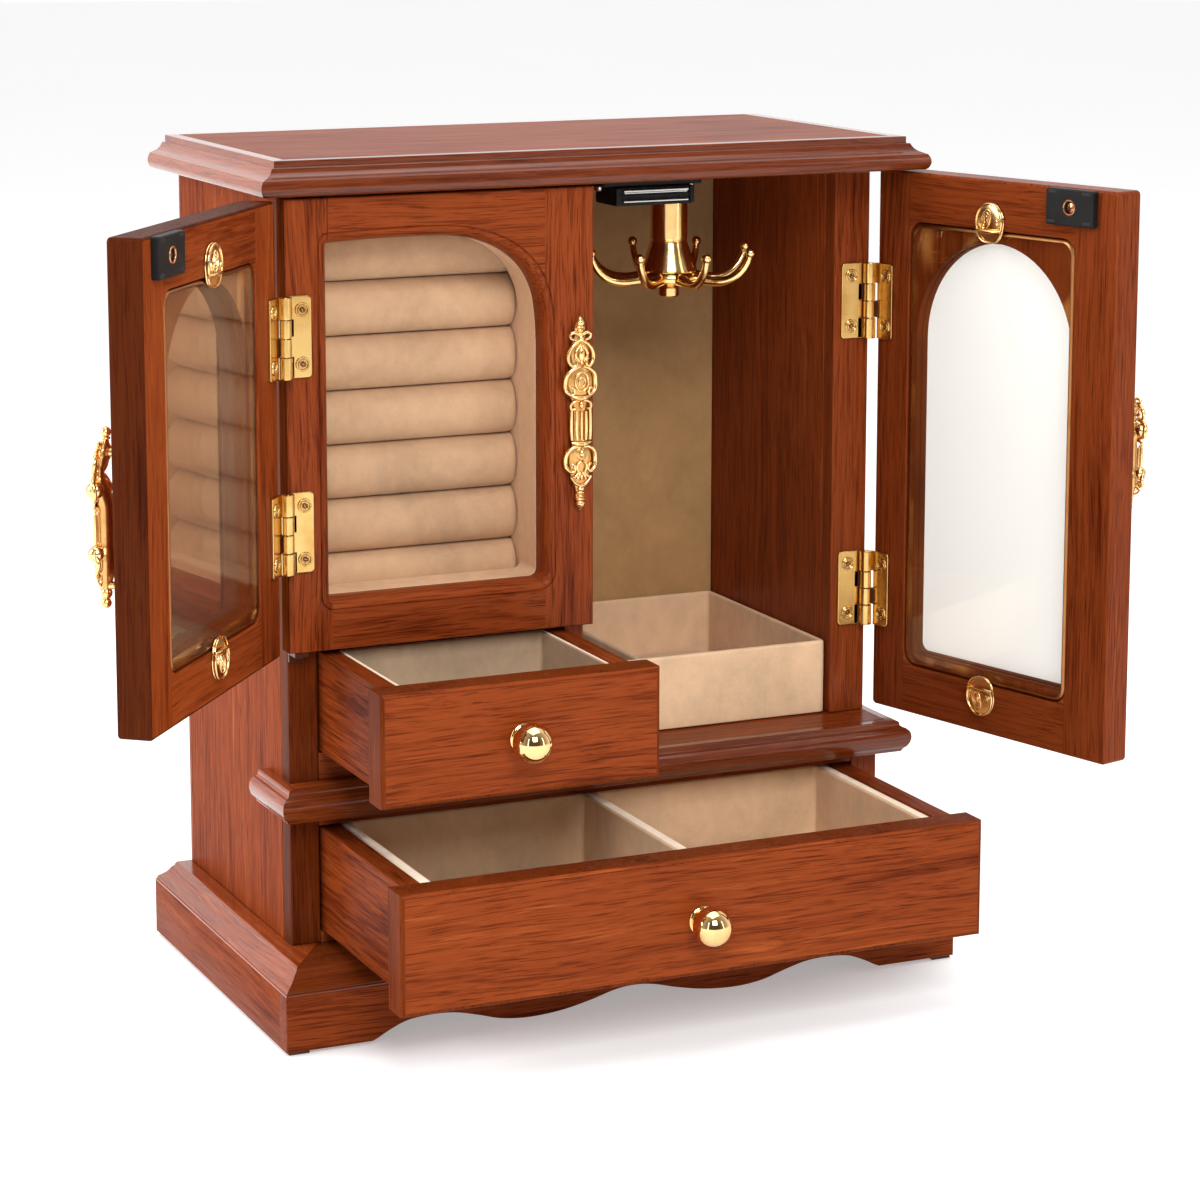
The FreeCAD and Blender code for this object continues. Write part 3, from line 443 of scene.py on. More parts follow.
# ------------------------------------------------------------------ shapes in millimetres
class Shape:
    def __init__(self):
        self.bm = bmesh.new()

    def add(self, tmp, mat=0, xf=None, smooth=True):
        if mat is not None:
            for f in tmp.faces:
                f.material_index = mat
        if xf is not None:
            bmesh.ops.transform(tmp, matrix=xf, verts=tmp.verts)
        me = bpy.data.meshes.new("tmp")
        tmp.to_mesh(me)
        tmp.free()
        self.bm.from_mesh(me)
        bpy.data.meshes.remove(me)

    def rbox(self, x0, x1, y0, y1, z0, z1, r=0.5, seg=3, mat=0, xf=None):
        t = bmesh.new()
        bmesh.ops.create_cube(t, size=1.0)
        bmesh.ops.scale(t, vec=(abs(x1 - x0), abs(y1 - y0), abs(z1 - z0)), verts=t.verts)
        bmesh.ops.translate(t, vec=((x0 + x1) / 2, (y0 + y1) / 2, (z0 + z1) / 2), verts=t.verts)
        r = min(r, 0.49 * min(abs(x1 - x0), abs(y1 - y0), abs(z1 - z0)))
        if r > 0:
            bmesh.ops.bevel(t, geom=t.edges[:], offset=r, segments=seg, profile=0.5, affect="EDGES")
        self.add(t, mat, xf)

    def plate(self, outer, holes, front, sign, prof, plane="xz", mat=0, rim=None, hole_rim=None, xf=None, back_cap=True):
        """A board with holes. holes: (loop, profile, floor). Depth runs from front by sign."""
        t = bmesh.new()

        def at(a, b, d):
            return (a, front + sign * d, b) if plane == "xz" else (a, b, front + sign * d)

        def rings(loop, profile, into):
            loop = ccw(list(loop))
            made = []
            for o, d in profile:
                pts = grow(loop, into * o)
                made.append([t.verts.new(at(p[0], p[1], d)) for p in pts])
            faces = []
            for a, b in zip(made, made[1:]):
                for i in range(len(a)):
                    j = (i + 1) % len(a)
                    faces.append(t.faces.new((a[i], a[j], b[j], b[i])))
            return made[0], made[-1], faces

        def loop_edges(vs):
            return [t.edges.get((vs[i], vs[(i + 1) % len(vs)])) or t.edges.new((vs[i], vs[(i + 1) % len(vs)])) for i in range(len(vs))]

        first, last, faces = rings(outer, prof, -1)
        front_e, back_e = loop_edges(first), loop_edges(last)
        marked = [(faces, rim)]
        for loop, profile, floor in holes:
            a, b, fs = rings(loop, profile, 1)
            marked.append((fs, hole_rim))
            front_e += loop_edges(a)
            if floor:
                bmesh.ops.triangle_fill(t, edges=loop_edges(b), use_beauty=True)
            else:
                back_e += loop_edges(b)
        bmesh.ops.triangle_fill(t, edges=front_e, use_beauty=True)
        if back_cap:
            bmesh.ops.triangle_fill(t, edges=back_e, use_beauty=True)
        for f in t.faces:
            f.material_index = mat
        for fs, k in marked:
            if k is not None:
                for f in fs:
                    f.material_index = k
        bmesh.ops.recalc_face_normals(t, faces=t.faces[:])
        self.add(t, None, xf)

    def lathe(self, prof, at=(0, 0, 0), axis="z", n=40, mat=0, xf=None):
        """prof is (radius, height) from one end to the other."""
        t = bmesh.new()
        rows = []
        for r, h in prof:
            if r < 1e-4:
                rows.append([t.verts.new((0, 0, h))])
            else:
                rows.append([t.verts.new((r * math.cos(2 * math.pi * i / n), r * math.sin(2 * math.pi * i / n), h)) for i in range(n)])
        for a, b in zip(rows, rows[1:]):
            for i in range(n):
                j = (i + 1) % n
                if len(a) == 1 and len(b) == 1:
                    continue
                if len(a) == 1:
                    t.faces.new((a[0], b[j], b[i]))
                elif len(b) == 1:
                    t.faces.new((a[i], a[j], b[0]))
                else:
                    t.faces.new((a[i], a[j], b[j], b[i]))
        for row in (rows[0], rows[-1]):
            if len(row) > 1:
                t.faces.new(row)
        bmesh.ops.recalc_face_normals(t, faces=t.faces[:])
        rot = {"z": Matrix.Identity(4), "y": Matrix.Rotation(math.radians(-90), 4, "X"), "-y": Matrix.Rotation(math.radians(90), 4, "X"),
               "x": Matrix.Rotation(math.radians(90), 4, "Y")}[axis]
        mtx = Matrix.Translation(Vector(at)) @ rot
        self.add(t, mat, (xf @ mtx) if xf is not None else mtx)

    def ball(self, at, r, mat=0, xf=None, n=20):
        t = bmesh.new()
        bmesh.ops.create_uvsphere(t, u_segments=n, v_segments=max(8, n // 2 + 2), radius=1.0)
        rr = r if isinstance(r, (list, tuple)) else (r, r, r)
        mtx = Matrix.Translation(Vector(at)) @ Matrix.Diagonal((rr[0], rr[1], rr[2], 1.0))
        self.add(t, mat, (xf @ mtx) if xf is not None else mtx)

    def tube(self, pts, radii, n=12, mat=0, xf=None, smooth=6, caps=True, flat=1.0, flat_dir=None):
        """A round bar along points, its radius changing from point to point."""
        if smooth:
            k = spline([tuple(p) + (r,) for p, r in zip(pts, radii)], smooth) if not hasattr(radii, "real") else None
        if not hasattr(radii, "real"):
            data = [(*p, r) for p, r in zip(pts, radii)]
        else:
            data = [(*p, radii) for p in pts]
        if smooth:
            data = spline(data, smooth)
        path = [Vector(d[:3]) for d in data]
        rad = [max(0.05, d[3]) for d in data]
        t = bmesh.new()
        rows = []
        ref = Vector((0, 1, 0.13)).normalized()
        for i, p in enumerate(path):
            d = (path[min(i + 1, len(path) - 1)] - path[max(i - 1, 0)]).normalized()
            side = d.cross(ref)
            if side.length < 1e-3:
                side = d.cross(Vector((1, 0, 0)))
            side.normalize()
            ref = side.cross(d).normalized()
            rows.append([t.verts.new(p + rad[i] * (math.cos(2 * math.pi * k / n) * side + math.sin(2 * math.pi * k / n) * ref * flat)) for k in range(n)])
        for a, b in zip(rows, rows[1:]):
            for i in range(n):
                j = (i + 1) % n
                t.faces.new((a[i], a[j], b[j], b[i]))
        if caps:
            for row, p, q in ((rows[0], path[0], path[1]), (rows[-1], path[-1], path[-2])):
                tip = t.verts.new(p + (p - q).normalized() * rad[0 if row is rows[0] else -1] * 0.55)
                for i in range(n):
                    t.faces.new((row[i], row[(i + 1) % n], tip))
        bmesh.ops.recalc_face_normals(t, faces=t.faces[:])
        self.add(t, mat, xf)

    def ringed(self, at, big, small, axis="y", n=28, k=10, mat=0, xf=None):
        """A torus."""
        t = bmesh.new()
        rows = []
        for i in range(n):
            a = 2 * math.pi * i / n
            rows.append([t.verts.new(((big + small * math.cos(2 * math.pi * j / k)) * math.cos(a),
                                      (big + small * math.cos(2 * math.pi * j / k)) * math.sin(a),
                                      small * math.sin(2 * math.pi * j / k))) for j in range(k)])
        for i in range(n):
            a, b = rows[i], rows[(i + 1) % n]
            for j in range(k):
                t.faces.new((a[j], b[j], b[(j + 1) % k], a[(j + 1) % k]))
        bmesh.ops.recalc_face_normals(t, faces=t.faces[:])
        rot = Matrix.Rotation(math.radians(90), 4, "X") if axis == "y" else Matrix.Identity(4)
        mtx = Matrix.Translation(Vector(at)) @ rot
        self.add(t, mat, (xf @ mtx) if xf is not None else mtx)

    def done(self, name, mats, body, nodes=(), world=None, sharp=32, weighted=True):
        bmesh.ops.remove_doubles(self.bm, verts=self.bm.verts, dist=0.0005)
        bmesh.ops.scale(self.bm, vec=(MM, MM, MM), verts=self.bm.verts)
        me = bpy.data.meshes.new(name)
        self.bm.to_mesh(me)
        self.bm.free()
        for mt in (mats if isinstance(mats, (list, tuple)) else [mats]):
            me.materials.append(mt)
        me.shade_smooth()
        me.set_sharp_from_angle(angle=math.radians(sharp))
        o = bpy.data.objects.new(name, me)
        SCN.collection.objects.link(o)
        if world is not None:
            o.matrix_world = world
        if weighted:
            w = o.modifiers.new("Normals", "WEIGHTED_NORMAL")
            w.keep_sharp = True
            w.weight = 60
        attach(o, body)
        if nodes:
            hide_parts(*([nodes] if isinstance(nodes, str) else nodes))
        return o


def dress(node, mats, r=0.5, seg=3):
    """A CAD board keeps its shape and gets softened edges and its finish."""
    o = N[node]
    o.data.materials.clear()
    o.data.materials.append(mats)
    w = o.modifiers.new("Weld", "WELD")
    w.merge_threshold = 0.00002
    d = o.modifiers.new("Planar", "DECIMATE")
    d.decimate_type = "DISSOLVE"
    d.angle_limit = math.radians(2)
    if r:
        bv = o.modifiers.new("Edges", "BEVEL")
        bv.width = r * MM
        bv.segments = seg
        bv.limit_method = "ANGLE"
        bv.angle_limit = math.radians(40)
        bv.use_clamp_overlap = True
        bv.harden_normals = False
    for p in o.data.polygons:
        p.use_smooth = True
    wn = o.modifiers.new("Normals", "WEIGHTED_NORMAL")
    wn.weight = 80
    return o


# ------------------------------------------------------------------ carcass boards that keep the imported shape
for node, mt, r in (("top_board", W["top"], 0.5), ("side_left", W["side"], 0.6), ("side_right", W["z2"], 0.6), ("back_panel", W["z2"], 0.4),
                    ("partition", W["z"], 0.7), ("post_left", W["shade"], 0.7), ("posts_right", W["post"], 0.8), ("inner_board_right", W["z"], 0.5),
                    ("waist_board", W["x2"], 0.4), ("cross_rails", W["x2"], 0.5), ("drawer_deck", W["x"], 0.4), ("ring_floor", W["x"], 0.4),
                    ("bottom_board", W["x"], 0.3), ("plinth_boards", W["plinth"], 0), ("upper_drawer_box", W["y"], 0.5),
                    ("lower_drawer_box", W["y"], 0.5), ("pivot_pins", BRONZE_AND_SLOT_SHADE, 0.2), ("foot_pads", RUBBER, 0.25)):
    dress(node, mt, r)
for node, mt in (("left_mirror", MIRROR_L), ("right_mirror", MIRROR_R_PAINTED)):
    dress(node, mt, 0)


# ------------------------------------------------------------------ mitred mouldings
def moulding(name, prof, xs, ys, px, py, end_y, node):
    prof = ccw(prof)
    s = Shape()

    def pt(k, which):
        t, z = prof[k]
        x, y = xs + px * t, ys + py * t
        return {"fl": (-x, -y, z), "fr": (x, -y, z), "bl": (-x, end_y, z), "br": (x, end_y, z)}[which]

    for a, b, mat in (("fl", "fr", 0), ("bl", "fl", 1), ("fr", "br", 1)):
        t = bmesh.new()
        va = [t.verts.new(pt(k, a)) for k in range(len(prof))]
        vb = [t.verts.new(pt(k, b)) for k in range(len(prof))]
        for i in range(len(prof)):
            j = (i + 1) % len(prof)
            t.faces.new((va[i], va[j], vb[j], vb[i]))
        for row in (va, vb):
            es = [t.edges.get((row[i], row[(i + 1) % len(row)])) for i in range(len(row))]
            bmesh.ops.triangle_fill(t, edges=es, use_beauty=True)
        bmesh.ops.recalc_face_normals(t, faces=t.faces[:])
        mid = Vector((0, 0, 0))
        for v in t.verts:
            mid += v.co
        mid /= len(t.verts)
        # a hair of glue line at the mitres
        for v in t.verts:
            if mat == 0:
                v.co.x -= math.copysign(0.06, v.co.x)
            elif v.co.y < mid.y:
                v.co.y += 0.06
        s.add(t, mat)
    # front piece gets the darker copy and the side pieces the lighter one: painted shade and painted sheen
    return s.done(name, [W["mould_x"], W["mould_y"]], "root", node, sharp=28)


TZ = 307.5
crown = [(0, TZ), (10.2, TZ)] + spline([(10.2, TZ), (10.9, TZ + 0.12), (11.7, TZ + 0.9), (12.3, TZ + 2.6), (12.1, TZ + 4.4), (11.3, TZ + 5.9)], 6)[1:]
crown += spline([(11.3, TZ + 5.9), (10.0, TZ + 6.45), (8.5, TZ + 7.1), (7.2, TZ + 8.2), (6.3, TZ + 9.8)], 6)[1:]
crown += [(6.15, TZ + 9.9), (5.25, TZ + 9.9), (5.1, TZ + 10.05), (5.1, TZ + 12.2), (5.02, TZ + 12.4), (4.8, TZ + 12.5), (0, TZ + 12.5)]
moulding("cornice", crown, 122.8, 44.0, 1, 1, 78.5, "cornice_moulding")
WL = 78.4
belt = [(0, WL), (4.3, WL)] + spline([(4.3, WL), (4.75, WL + 0.25), (5.3, WL + 1.25), (6.5, WL + 2.5)], 5)[1:]
belt += spline([(6.5, WL + 2.5), (7.3, WL + 4.2), (7.65, WL + 6.3), (7.2, WL + 8.4), (6.0, WL + 9.6)], 6)[1:]
belt += [(4.95, WL + 9.85)] + spline([(4.85, WL + 9.95), (4.2, WL + 10.5), (4.1, WL + 11.3), (3.8, WL + 11.95), (3.3, WL + 12.2)], 4)[1:]
belt += [(0, WL + 12.2)]
moulding("waist_strips", belt, 122.8, 48.7, 1, 1, -18.0, "waist_moulding")
PT = 22.0
TIN = -(128.4 - 110.0) / 9.6
basep = [(TIN, PT), (0.99, PT), (1.0, PT + 0.12), (1.0, PT + 0.68), (0.985, PT + 0.8), (0.945, PT + 0.8), (0.93, PT + 0.92), (0.93, PT + 1.3), (0.925, PT + 1.4)]
basep += spline([(0.925, PT + 1.4), (0.84, PT + 1.9), (0.62, PT + 2.6), (0.42, PT + 3.6), (0.30, PT + 4.7), (0.16, PT + 5.3)], 6)[1:]
basep += spline([(0.16, PT + 5.3), (0.13, PT + 5.9), (0.07, PT + 6.35), (0.0, PT + 6.5)], 4)[1:]
basep += [(TIN, PT + 6.5)]
moulding("base_cove", basep, 128.4, 64.5, 9.6, 14.0, 78.5, "base_moulding")
# plain strip that closes the base at the back
s = Shape()
s.rbox(-109.9, 109.9, 66.0, 78.2, 22.05, 28.45, 0.3)
s.done("base_back_strip", W["mould_x"], "root")

# ------------------------------------------------------------------ waved apron
half_wave = [(0, 8.0), (8, 7.2), (18, 4.6), (30, 2.3), (43, 1.5), (54, 2.6), (64, 5.4), (73, 7.5), (82, 8.0), (91, 7.2), (98, 4.6), (103, 2.0)]
low = [(-x, z) for x, z in reversed(half_wave)] + half_wave[1:]
low = [(-105.0, 1.2)] + spline(low, 6) + [(105.0, 1.2)]
apron = low + [(138, 1.2), (138, 22), (-138, 22), (-138, 1.2)]
s = Shape()
s.plate(apron, [], -78.5, 1, eased(0.5, 8.0, 0.06))
s.done("apron", W["apron"], "root", "plinth_front")

# ------------------------------------------------------------------ inner framed door
ARCH_HEAD = spline([(-24.2, 244.0), (-24.25, 250.0), (-24.9, 260.0), (-26.6, 268.6), (-31.0, 276.8), (-38.5, 283.4), (-49.0, 288.0), (-62.0, 290.3), (-86.0, 290.5), (-108.2, 289.6)], 8)
window = [(-108.5 + 0.9 - 0.9 * math.cos(math.radians(a)), 160.4 + 0.9 - 0.9 * math.sin(math.radians(a))) for a in (0, 30, 60, 90)]
window += [(-24.2 - 3.0 + 3.0 * math.sin(math.radians(a)), 160.4 + 3.0 - 3.0 * math.cos(math.radians(a))) for a in (0, 18, 36, 54, 72, 90)]
window += ARCH_HEAD + [(-108.5, 289.2)]
# rounded bead inside a fine groove, then the straight edge of the frame
sight = [(4.55, 0.0), (4.42, 0.06), (4.3, 0.42), (4.08, 0.62), (3.86, 0.44), (3.7, 0.14), (3.3, 0.02), (2.7, 0.12), (2.0, 0.52), (1.35, 1.2), (0.8, 2.1), (0.35, 3.3), (0.08, 4.7), (0.0, 6.0), (0.0, 8.7), (0.3, 9.2)]
outer = rect(-125.0, -4.5, 141.4, 306.5)
s = Shape()
s.plate(outer, [(window, sight, False)], -51.2, 1, eased(0.9, 9.2, 0.7))
# the left edge faces get the dark edge wood: painted shade beside the left door
for f in s.bm.faces:
    if f.calc_center_median().x < -124.92 and abs(f.normal.x) > 0.5:
        f.material_index = 1
s.done("inner_door_frame", [W["inner"], W["inner_edge_shade"]], "inner_door", ("inner_stiles", "inner_rails"))


# ------------------------------------------------------------------ drawer fronts
def drawer_front(name, x0, x1, y0, z0, z1, body, node):
    s = Shape()
    edge = [(1.5, 0.0), (1.1, 0.06), (0.75, 0.20), (0.45, 0.42), (0.22, 0.7), (0.06, 1.05), (0.0, 1.5), (0.0, 12.2), (0.15, 12.6), (0.4, 12.82), (0.7, 12.9)]
    # the rim faces take the darker edge wood, painted shade on the edges
    s.plate(rect(x0, x1, z0, z1), [], y0, 1, edge, rim=1)
    # small bead along the top with a quirk under it
    s.tube([(x0 + 0.9, y0 + 0.80, z1 - 0.80), (x1 - 0.9, y0 + 0.80, z1 - 0.80)], 0.80, n=16, smooth=0)
    return s.done(name, [W["front"], W["front_edge"]], body, node)


drawer_front("upper_front", -115.7, -8.5, -117.9, 99.2, 140.2, "upper_drawer", "upper_drawer_front")
drawer_front("lower_front", -115.7, 115.7, -135.1, 29.3, 73.3, "lower_drawer", "lower_drawer_front")


def knob(name, x, y_ball, z, y_face, body, node):
    s = Shape()
    d = y_face - y_ball
    prof = [(0.0, 0.0), (5.0, 0.0), (5.4, 0.35), (5.4, 0.9), (5.0, 1.3), (4.2, 1.5), (3.2, 1.75), (2.75, 2.3), (2.65, 2.9),
            (3.3, 3.2), (3.95, 3.5), (4.0, 3.95), (3.7, 4.3), (3.4, 4.6)]
    r = 7.2
    a0 = math.asin(3.4 / r)
    ball = [(r * math.sin(a), d - r * math.cos(a)) for a in [a0 + (math.pi - a0) * i / 40 for i in range(41)]]
    prof = [p for p in prof if p[1] < ball[0][1]] + ball[:-1] + [(0.0, d + r)]
    s.lathe(prof, (x, y_face, z), "-y", n=64)
    return s.done(name, BRASS_KNOB, body, node, sharp=40)


knob("upper_ball_knob", -62.1, -126.4, 119.7, -117.9, "upper_drawer", "upper_knob")
knob("lower_ball_knob", 0.0, -143.6, 50.0, -135.1, "lower_drawer", "lower_knob")


# ------------------------------------------------------------------ velvet: linings, rolls, tray
def pad(name, x0, x1, y0, y1, z0, z1, body, mat, crown=0.9, corner=2.5, nx=34, ny=34, seed=1.0, puff=True):
    """A thin flocked cushion lying in a well: flat below, crowned above, its rim pulled down."""
    t = bmesh.new()
    cx, cy, hx, hy = (x0 + x1) / 2, (y0 + y1) / 2, (x1 - x0) / 2, (y1 - y0) / 2
    rows = {}
    zt, zb = z1 - crown, z0

    def shape(u, v):
        # square to rounded square
        k = 4.5
        m_ = (abs(u) ** k + abs(v) ** k) ** (1 / k) or 1.0
        q = max(abs(u), abs(v)) / m_ if m_ > 0 else 1.0
        w = 1.0 - (1.0 - q) * (max(abs(u), abs(v)) ** 6)
        return cx + hx * u * w, cy + hy * v * w

    for top in (1, 0):
        for i in range(nx + 1):
            for j in range(ny + 1):
                u, v = 2 * i / nx - 1, 2 * j / ny - 1
                u, v = math.sin(u * math.pi / 2), math.sin(v * math.pi / 2)
                x, y = shape(u, v)
                edge = max(abs(u), abs(v))
                if top:
                    hump = (1 - u ** 6) * (1 - v ** 6)
                    side = min(1.0, (1 - edge) * min(hx, hy) / 1.6)
                    z = zb + 0.35 * (zt - zb) + 0.65 * (zt - zb) * math.sqrt(max(0.0, 1 - (1 - side) ** 2)) + crown * hump
                    z += 0.10 * noise.noise(Vector((x * 0.06, y * 0.06, seed)))
                else:
                    z = zb
                rows[(top, i, j)] = (x, y, z)
    verts = {}
    for key, p in rows.items():
        verts[key] = t.verts.new(p)
    for top in (1, 0):
        for i in range(nx):
            for j in range(ny):
                t.faces.new([verts[(top, i + a, j + b)] for a, b in ((0, 0), (1, 0), (1, 1), (0, 1))])
    ring = [(i, 0) for i in range(nx)] + [(nx, j) for j in range(ny)] + [(i, ny) for i in range(nx, 0, -1)] + [(0, j) for j in range(ny, 0, -1)]
    for a, b in zip(ring, ring[1:] + ring[:1]):
        t.faces.new((verts[(1,) + a], verts[(1,) + b], verts[(0,) + b], verts[(0,) + a]))
    bmesh.ops.recalc_face_normals(t, faces=t.faces[:])
    s = Shape()
    s.add(t, 0)
    o = s.done(name, mat, body, sharp=80, weighted=False)
    if puff:
        swell(o, 3.0, 0.35, 12)
    return o


def swell(o, pressure, cap, frames):
    """Cloth fills a little with air, then what it did is kept, up to cap millimetres."""
    rest = [v.co.copy() for v in o.data.vertices]
    c = o.modifiers.new("Cloth", "CLOTH")
    c.settings.quality = 4
    c.settings.mass = 0.2
    c.settings.use_pressure = True
    c.settings.uniform_pressure_force = pressure
    c.settings.effector_weights.gravity = 0.0
    c.settings.tension_stiffness = 12
    c.settings.compression_stiffness = 8
    c.settings.shear_stiffness = 6
    c.settings.bending_stiffness = 0.4
    c.collision_settings.use_collision = False
    c.collision_settings.use_self_collision = False
    c.point_cache.frame_start, c.point_cache.frame_end = 1, frames
    for f in range(1, frames + 1):
        SCN.frame_set(f)
    dg = bpy.context.evaluated_depsgraph_get()
    moved = [v.co.copy() for v in o.evaluated_get(dg).data.vertices]
    o.modifiers.remove(c)
    SCN.frame_set(1)
    if len(moved) == len(rest):
        for v, a, b in zip(o.data.vertices, rest, moved):
            d = b - a
            if not all(math.isfinite(k) for k in d):
                continue
            if d.length > cap * MM:
                d = d.normalized() * cap * MM
            v.co = a + d
    o.data.update()


def lined_box(name, x0, x1, y0, y1, z_top, z_floor, wells, body, node, z_low, edge=0.8, front_open=True):
    """Cloth over board: walls with rounded tops, wells with soft corners."""
    s = Shape()
    holes = []
    for a, b, c, d in wells:
        lo = c
        prof = [(o * edge, k * edge) for o, k in EASE] + [(0.0, z_top - z_floor - 1.2), (-0.25, z_top - z_floor - 0.5), (-0.9, z_top - z_floor - 0.1), (-1.4, z_top - z_floor)]
        holes.append((rect(a, b, lo, d, 1.6, 5), prof, True))
    # everything but the walls of the wells takes the lighter cloth, painted light; the walls take the wall cloth
    s.plate(rect(x0, x1, y0, y1, 0.4, 3), holes, z_top, -1, eased(edge, z_top - z_low, 0.2), plane="xy", mat=0, hole_rim=1)
    return s.done(name, [V_EDGE_LIT, V_WALL_SHADED if body == "upper_drawer" else V_WALL], body, node, sharp=40)


# upper drawer: thin walls, one well that runs up to the front board
lined_box("upper_lining", -103.6, -20.4, -104.9, -41.0, 138.8, 110.0, [(-101.6, -22.4, -104.4, -43.0)], "upper_drawer", "upper_drawer_lining", 104.3, 0.55)
# the upper drawer's cloth is the darker copy, painted shade
pad("upper_floor_pad", -101.2, -22.8, -104.2, -43.4, 109.4, 112.4, "upper_drawer", V_WALL_SHADED, seed=3.0)
lined_box("lower_lining", -102.6, 102.6, -122.1, -33.7, 72.2, 44.5, [(-97.6, -2.9, -121.6, -38.2), (2.4, 97.6, -121.6, -38.2)], "lower_drawer", "lower_drawer_lining", 36.0, 1.0)
pad("lower_floor_pad_left", -97.2, -3.3, -121.4, -38.6, 44.0, 47.2, "lower_drawer", V_WALL, seed=5.0)
pad("lower_floor_pad_right", 2.8, 97.2, -121.4, -38.6, 44.0, 47.2, "lower_drawer", V_WALL, seed=7.0)

# tray in the hanging side
s = Shape()
tray_wells = []
for a, b in ((-1.5, 25.0), (27.2, 104.5)):
    prof = [(o * 1.0, k * 1.0) for o, k in EASE] + [(0.0, 25.5), (-0.3, 26.4), (-1.0, 26.9), (-1.5, 27.0)]
    tray_wells.append((rect(a, b, -26.8, 71.1, 1.6, 5), prof, True))
s.plate(rect(-3.7, 106.7, -29.0, 73.3, 2.8, 8), tray_wells, 120.0, -1, eased(1.15, 29.0, 0.5), plane="xy", mat=0)
s.done("tray_shell", [V_TRAY], "tray", "accessory_tray", sharp=40)
pad("tray_pad_left", -1.1, 24.6, -26.4, 70.7, 92.9, 97.2, "tray", V_TRAY, nx=20, ny=40, seed=9.0)
pad("tray_pad_right", 27.6, 104.1, -26.4, 70.7, 92.9, 97.2, "tray", V_TRAY, nx=40, ny=40, seed=11.0)

# back lining of the hanging side, its darker cloth painted shade
s = Shape()
s.plate(rect(-4.4, 107.3, 90.7, 307.4, 0.6, 3), [], 74.0, 1, eased(0.55, 1.5, 0.2))
s.done("back_cloth", [V_BACK_SHADED], "root", "lining_back")

# ring side: arched facing, cheeks, sill and backing
s = Shape()
hole = [(0.55, 0.0), (0.28, 0.05), (0.08, 0.22), (0.0, 0.5), (0.0, 14.6), (0.25, 14.9)]
s.plate(rect(-111.4, -12.5, 147.0, 307.5), [(window, hole, False)], -41.9, 1, [(0.0, 0.0), (0.0, 14.9)], hole_rim=1)
s.rbox(-24.2, -12.5, -27.1, -6.4, 147.0, 307.5, 0.3, mat=1)
s.rbox(-111.4, -108.5, -27.1, -6.4, 147.0, 307.5, 0.3, mat=1)
s.rbox(-109.5, -23.0, -6.5, -3.4, 147.0, 307.5, 0.3)
s.done("ring_backing", [V_ROLL, V_CHEEK], "root", "ring_lining", sharp=35)


def ring_rolls():
    """Seven foam bars in cloth, pressed flat where they touch."""
    t = bmesh.new()
    x0, x1, half, cy = -108.2, -24.5, 10.15, -16.8
    nx, na = 72, 56
    for k in range(7):
        cz = 160.55 + 20.3 * k
        rows = []
        for i in range(nx + 1):
            # closer together towards the ends, where the cloth turns in
            x = x0 + (x1 - x0) * (0.5 - 0.5 * math.cos(math.pi * i / nx))
            end = min(x - x0, x1 - x)
            turn = 1.0 if end > 4.0 else 1.0 - 0.30 * (1.0 - math.sqrt(max(0.0, 1 - (1 - end / 4.0) ** 2)))
            row = []
            for j in range(na):
                a = 2 * math.pi * j / na
                c, s_ = math.cos(a), math.sin(a)
                # softly square: pressed flat against the neighbours, full in front
                dy = 10.0 * math.copysign(abs(c) ** 0.86, c)
                dz = half * math.copysign(min(1.0, 1.02 * abs(s_) ** 0.92), s_)
                front = max(0.0, -c)
                w = 0.55 * noise.noise(Vector((x * 0.030, k * 3.1, a * 0.7))) + 0.25 * noise.noise(Vector((x * 0.09, k * 1.7 + 4, a * 1.3)))
                pull = 0.9 * noise.noise(Vector((x * 0.055, k * 5.7 + 2.0, 0.3))) * abs(s_) ** 3
                f = turn * (1.0 + (w * front - max(0.0, pull) * front) / 10.0)
                row.append(t.verts.new((x, cy + dy * (f if c < 0 else 1.0), cz + dz * (0.985 + 0.012 * w) * (0.90 + 0.10 * turn))))
            rows.append(row)
        for a_, b_ in zip(rows, rows[1:]):
            for j in range(na):
                t.faces.new((a_[j], a_[(j + 1) % na], b_[(j + 1) % na], b_[j]))
        t.faces.new(rows[0])
        t.faces.new(rows[-1])
    bmesh.ops.recalc_face_normals(t, faces=t.faces[:])
    # rolls stay in front of the backing and behind the door
    for v in t.verts:
        v.co.y = max(-26.95, min(v.co.y, -6.55))
    s = Shape()
    s.add(t, 0)
    o = s.done("ring_bars", [V_ROLL], "root", "ring_rolls", sharp=60, weighted=False)
    swell(o, 2.0, 0.30, 10)
    for v in o.data.vertices:
        v.co.y = max(-0.02698, min(v.co.y, -0.00650))
    return o


ring_rolls()

# ------------------------------------------------------------------ magnetic catch under the top
s = Shape()
s.rbox(14, 46.7, -30, -12, 296, 303.2, 0.7, mat=0)
s.plate(rect(8.7, 52.0, -28.5, -13.5, 3.0, 6), [], 307.4, -1, eased(0.4, 4.2), plane="xy", mat=0)
for x in (20.0, 25.6, 30.4, 36.0, 41.2):
    s.rbox(x - 0.5, x + 0.5, -30.35, -29.6, 296.4, 303.0, 0.2, mat=0)
s.rbox(15.2, 45.5, -30.6, -29.7, 299.3, 300.2, 0.2, mat=0)
for x in (14.9, 45.8):
    s.rbox(x - 0.9, x + 0.9, -31.0, -29.6, 296.6, 302.8, 0.3, mat=0)
s.done("catch_housing", [BLACK], "root", "catch_body")
s = Shape()
s.rbox(17, 44, -31.5, -30.0, 301.3, 302.1, 0.2)
s.rbox(17, 44, -31.5, -30.0, 297.4, 298.1, 0.2)
s.rbox(17.4, 43.6, -31.1, -30.0, 300.7, 301.2, 0.12)
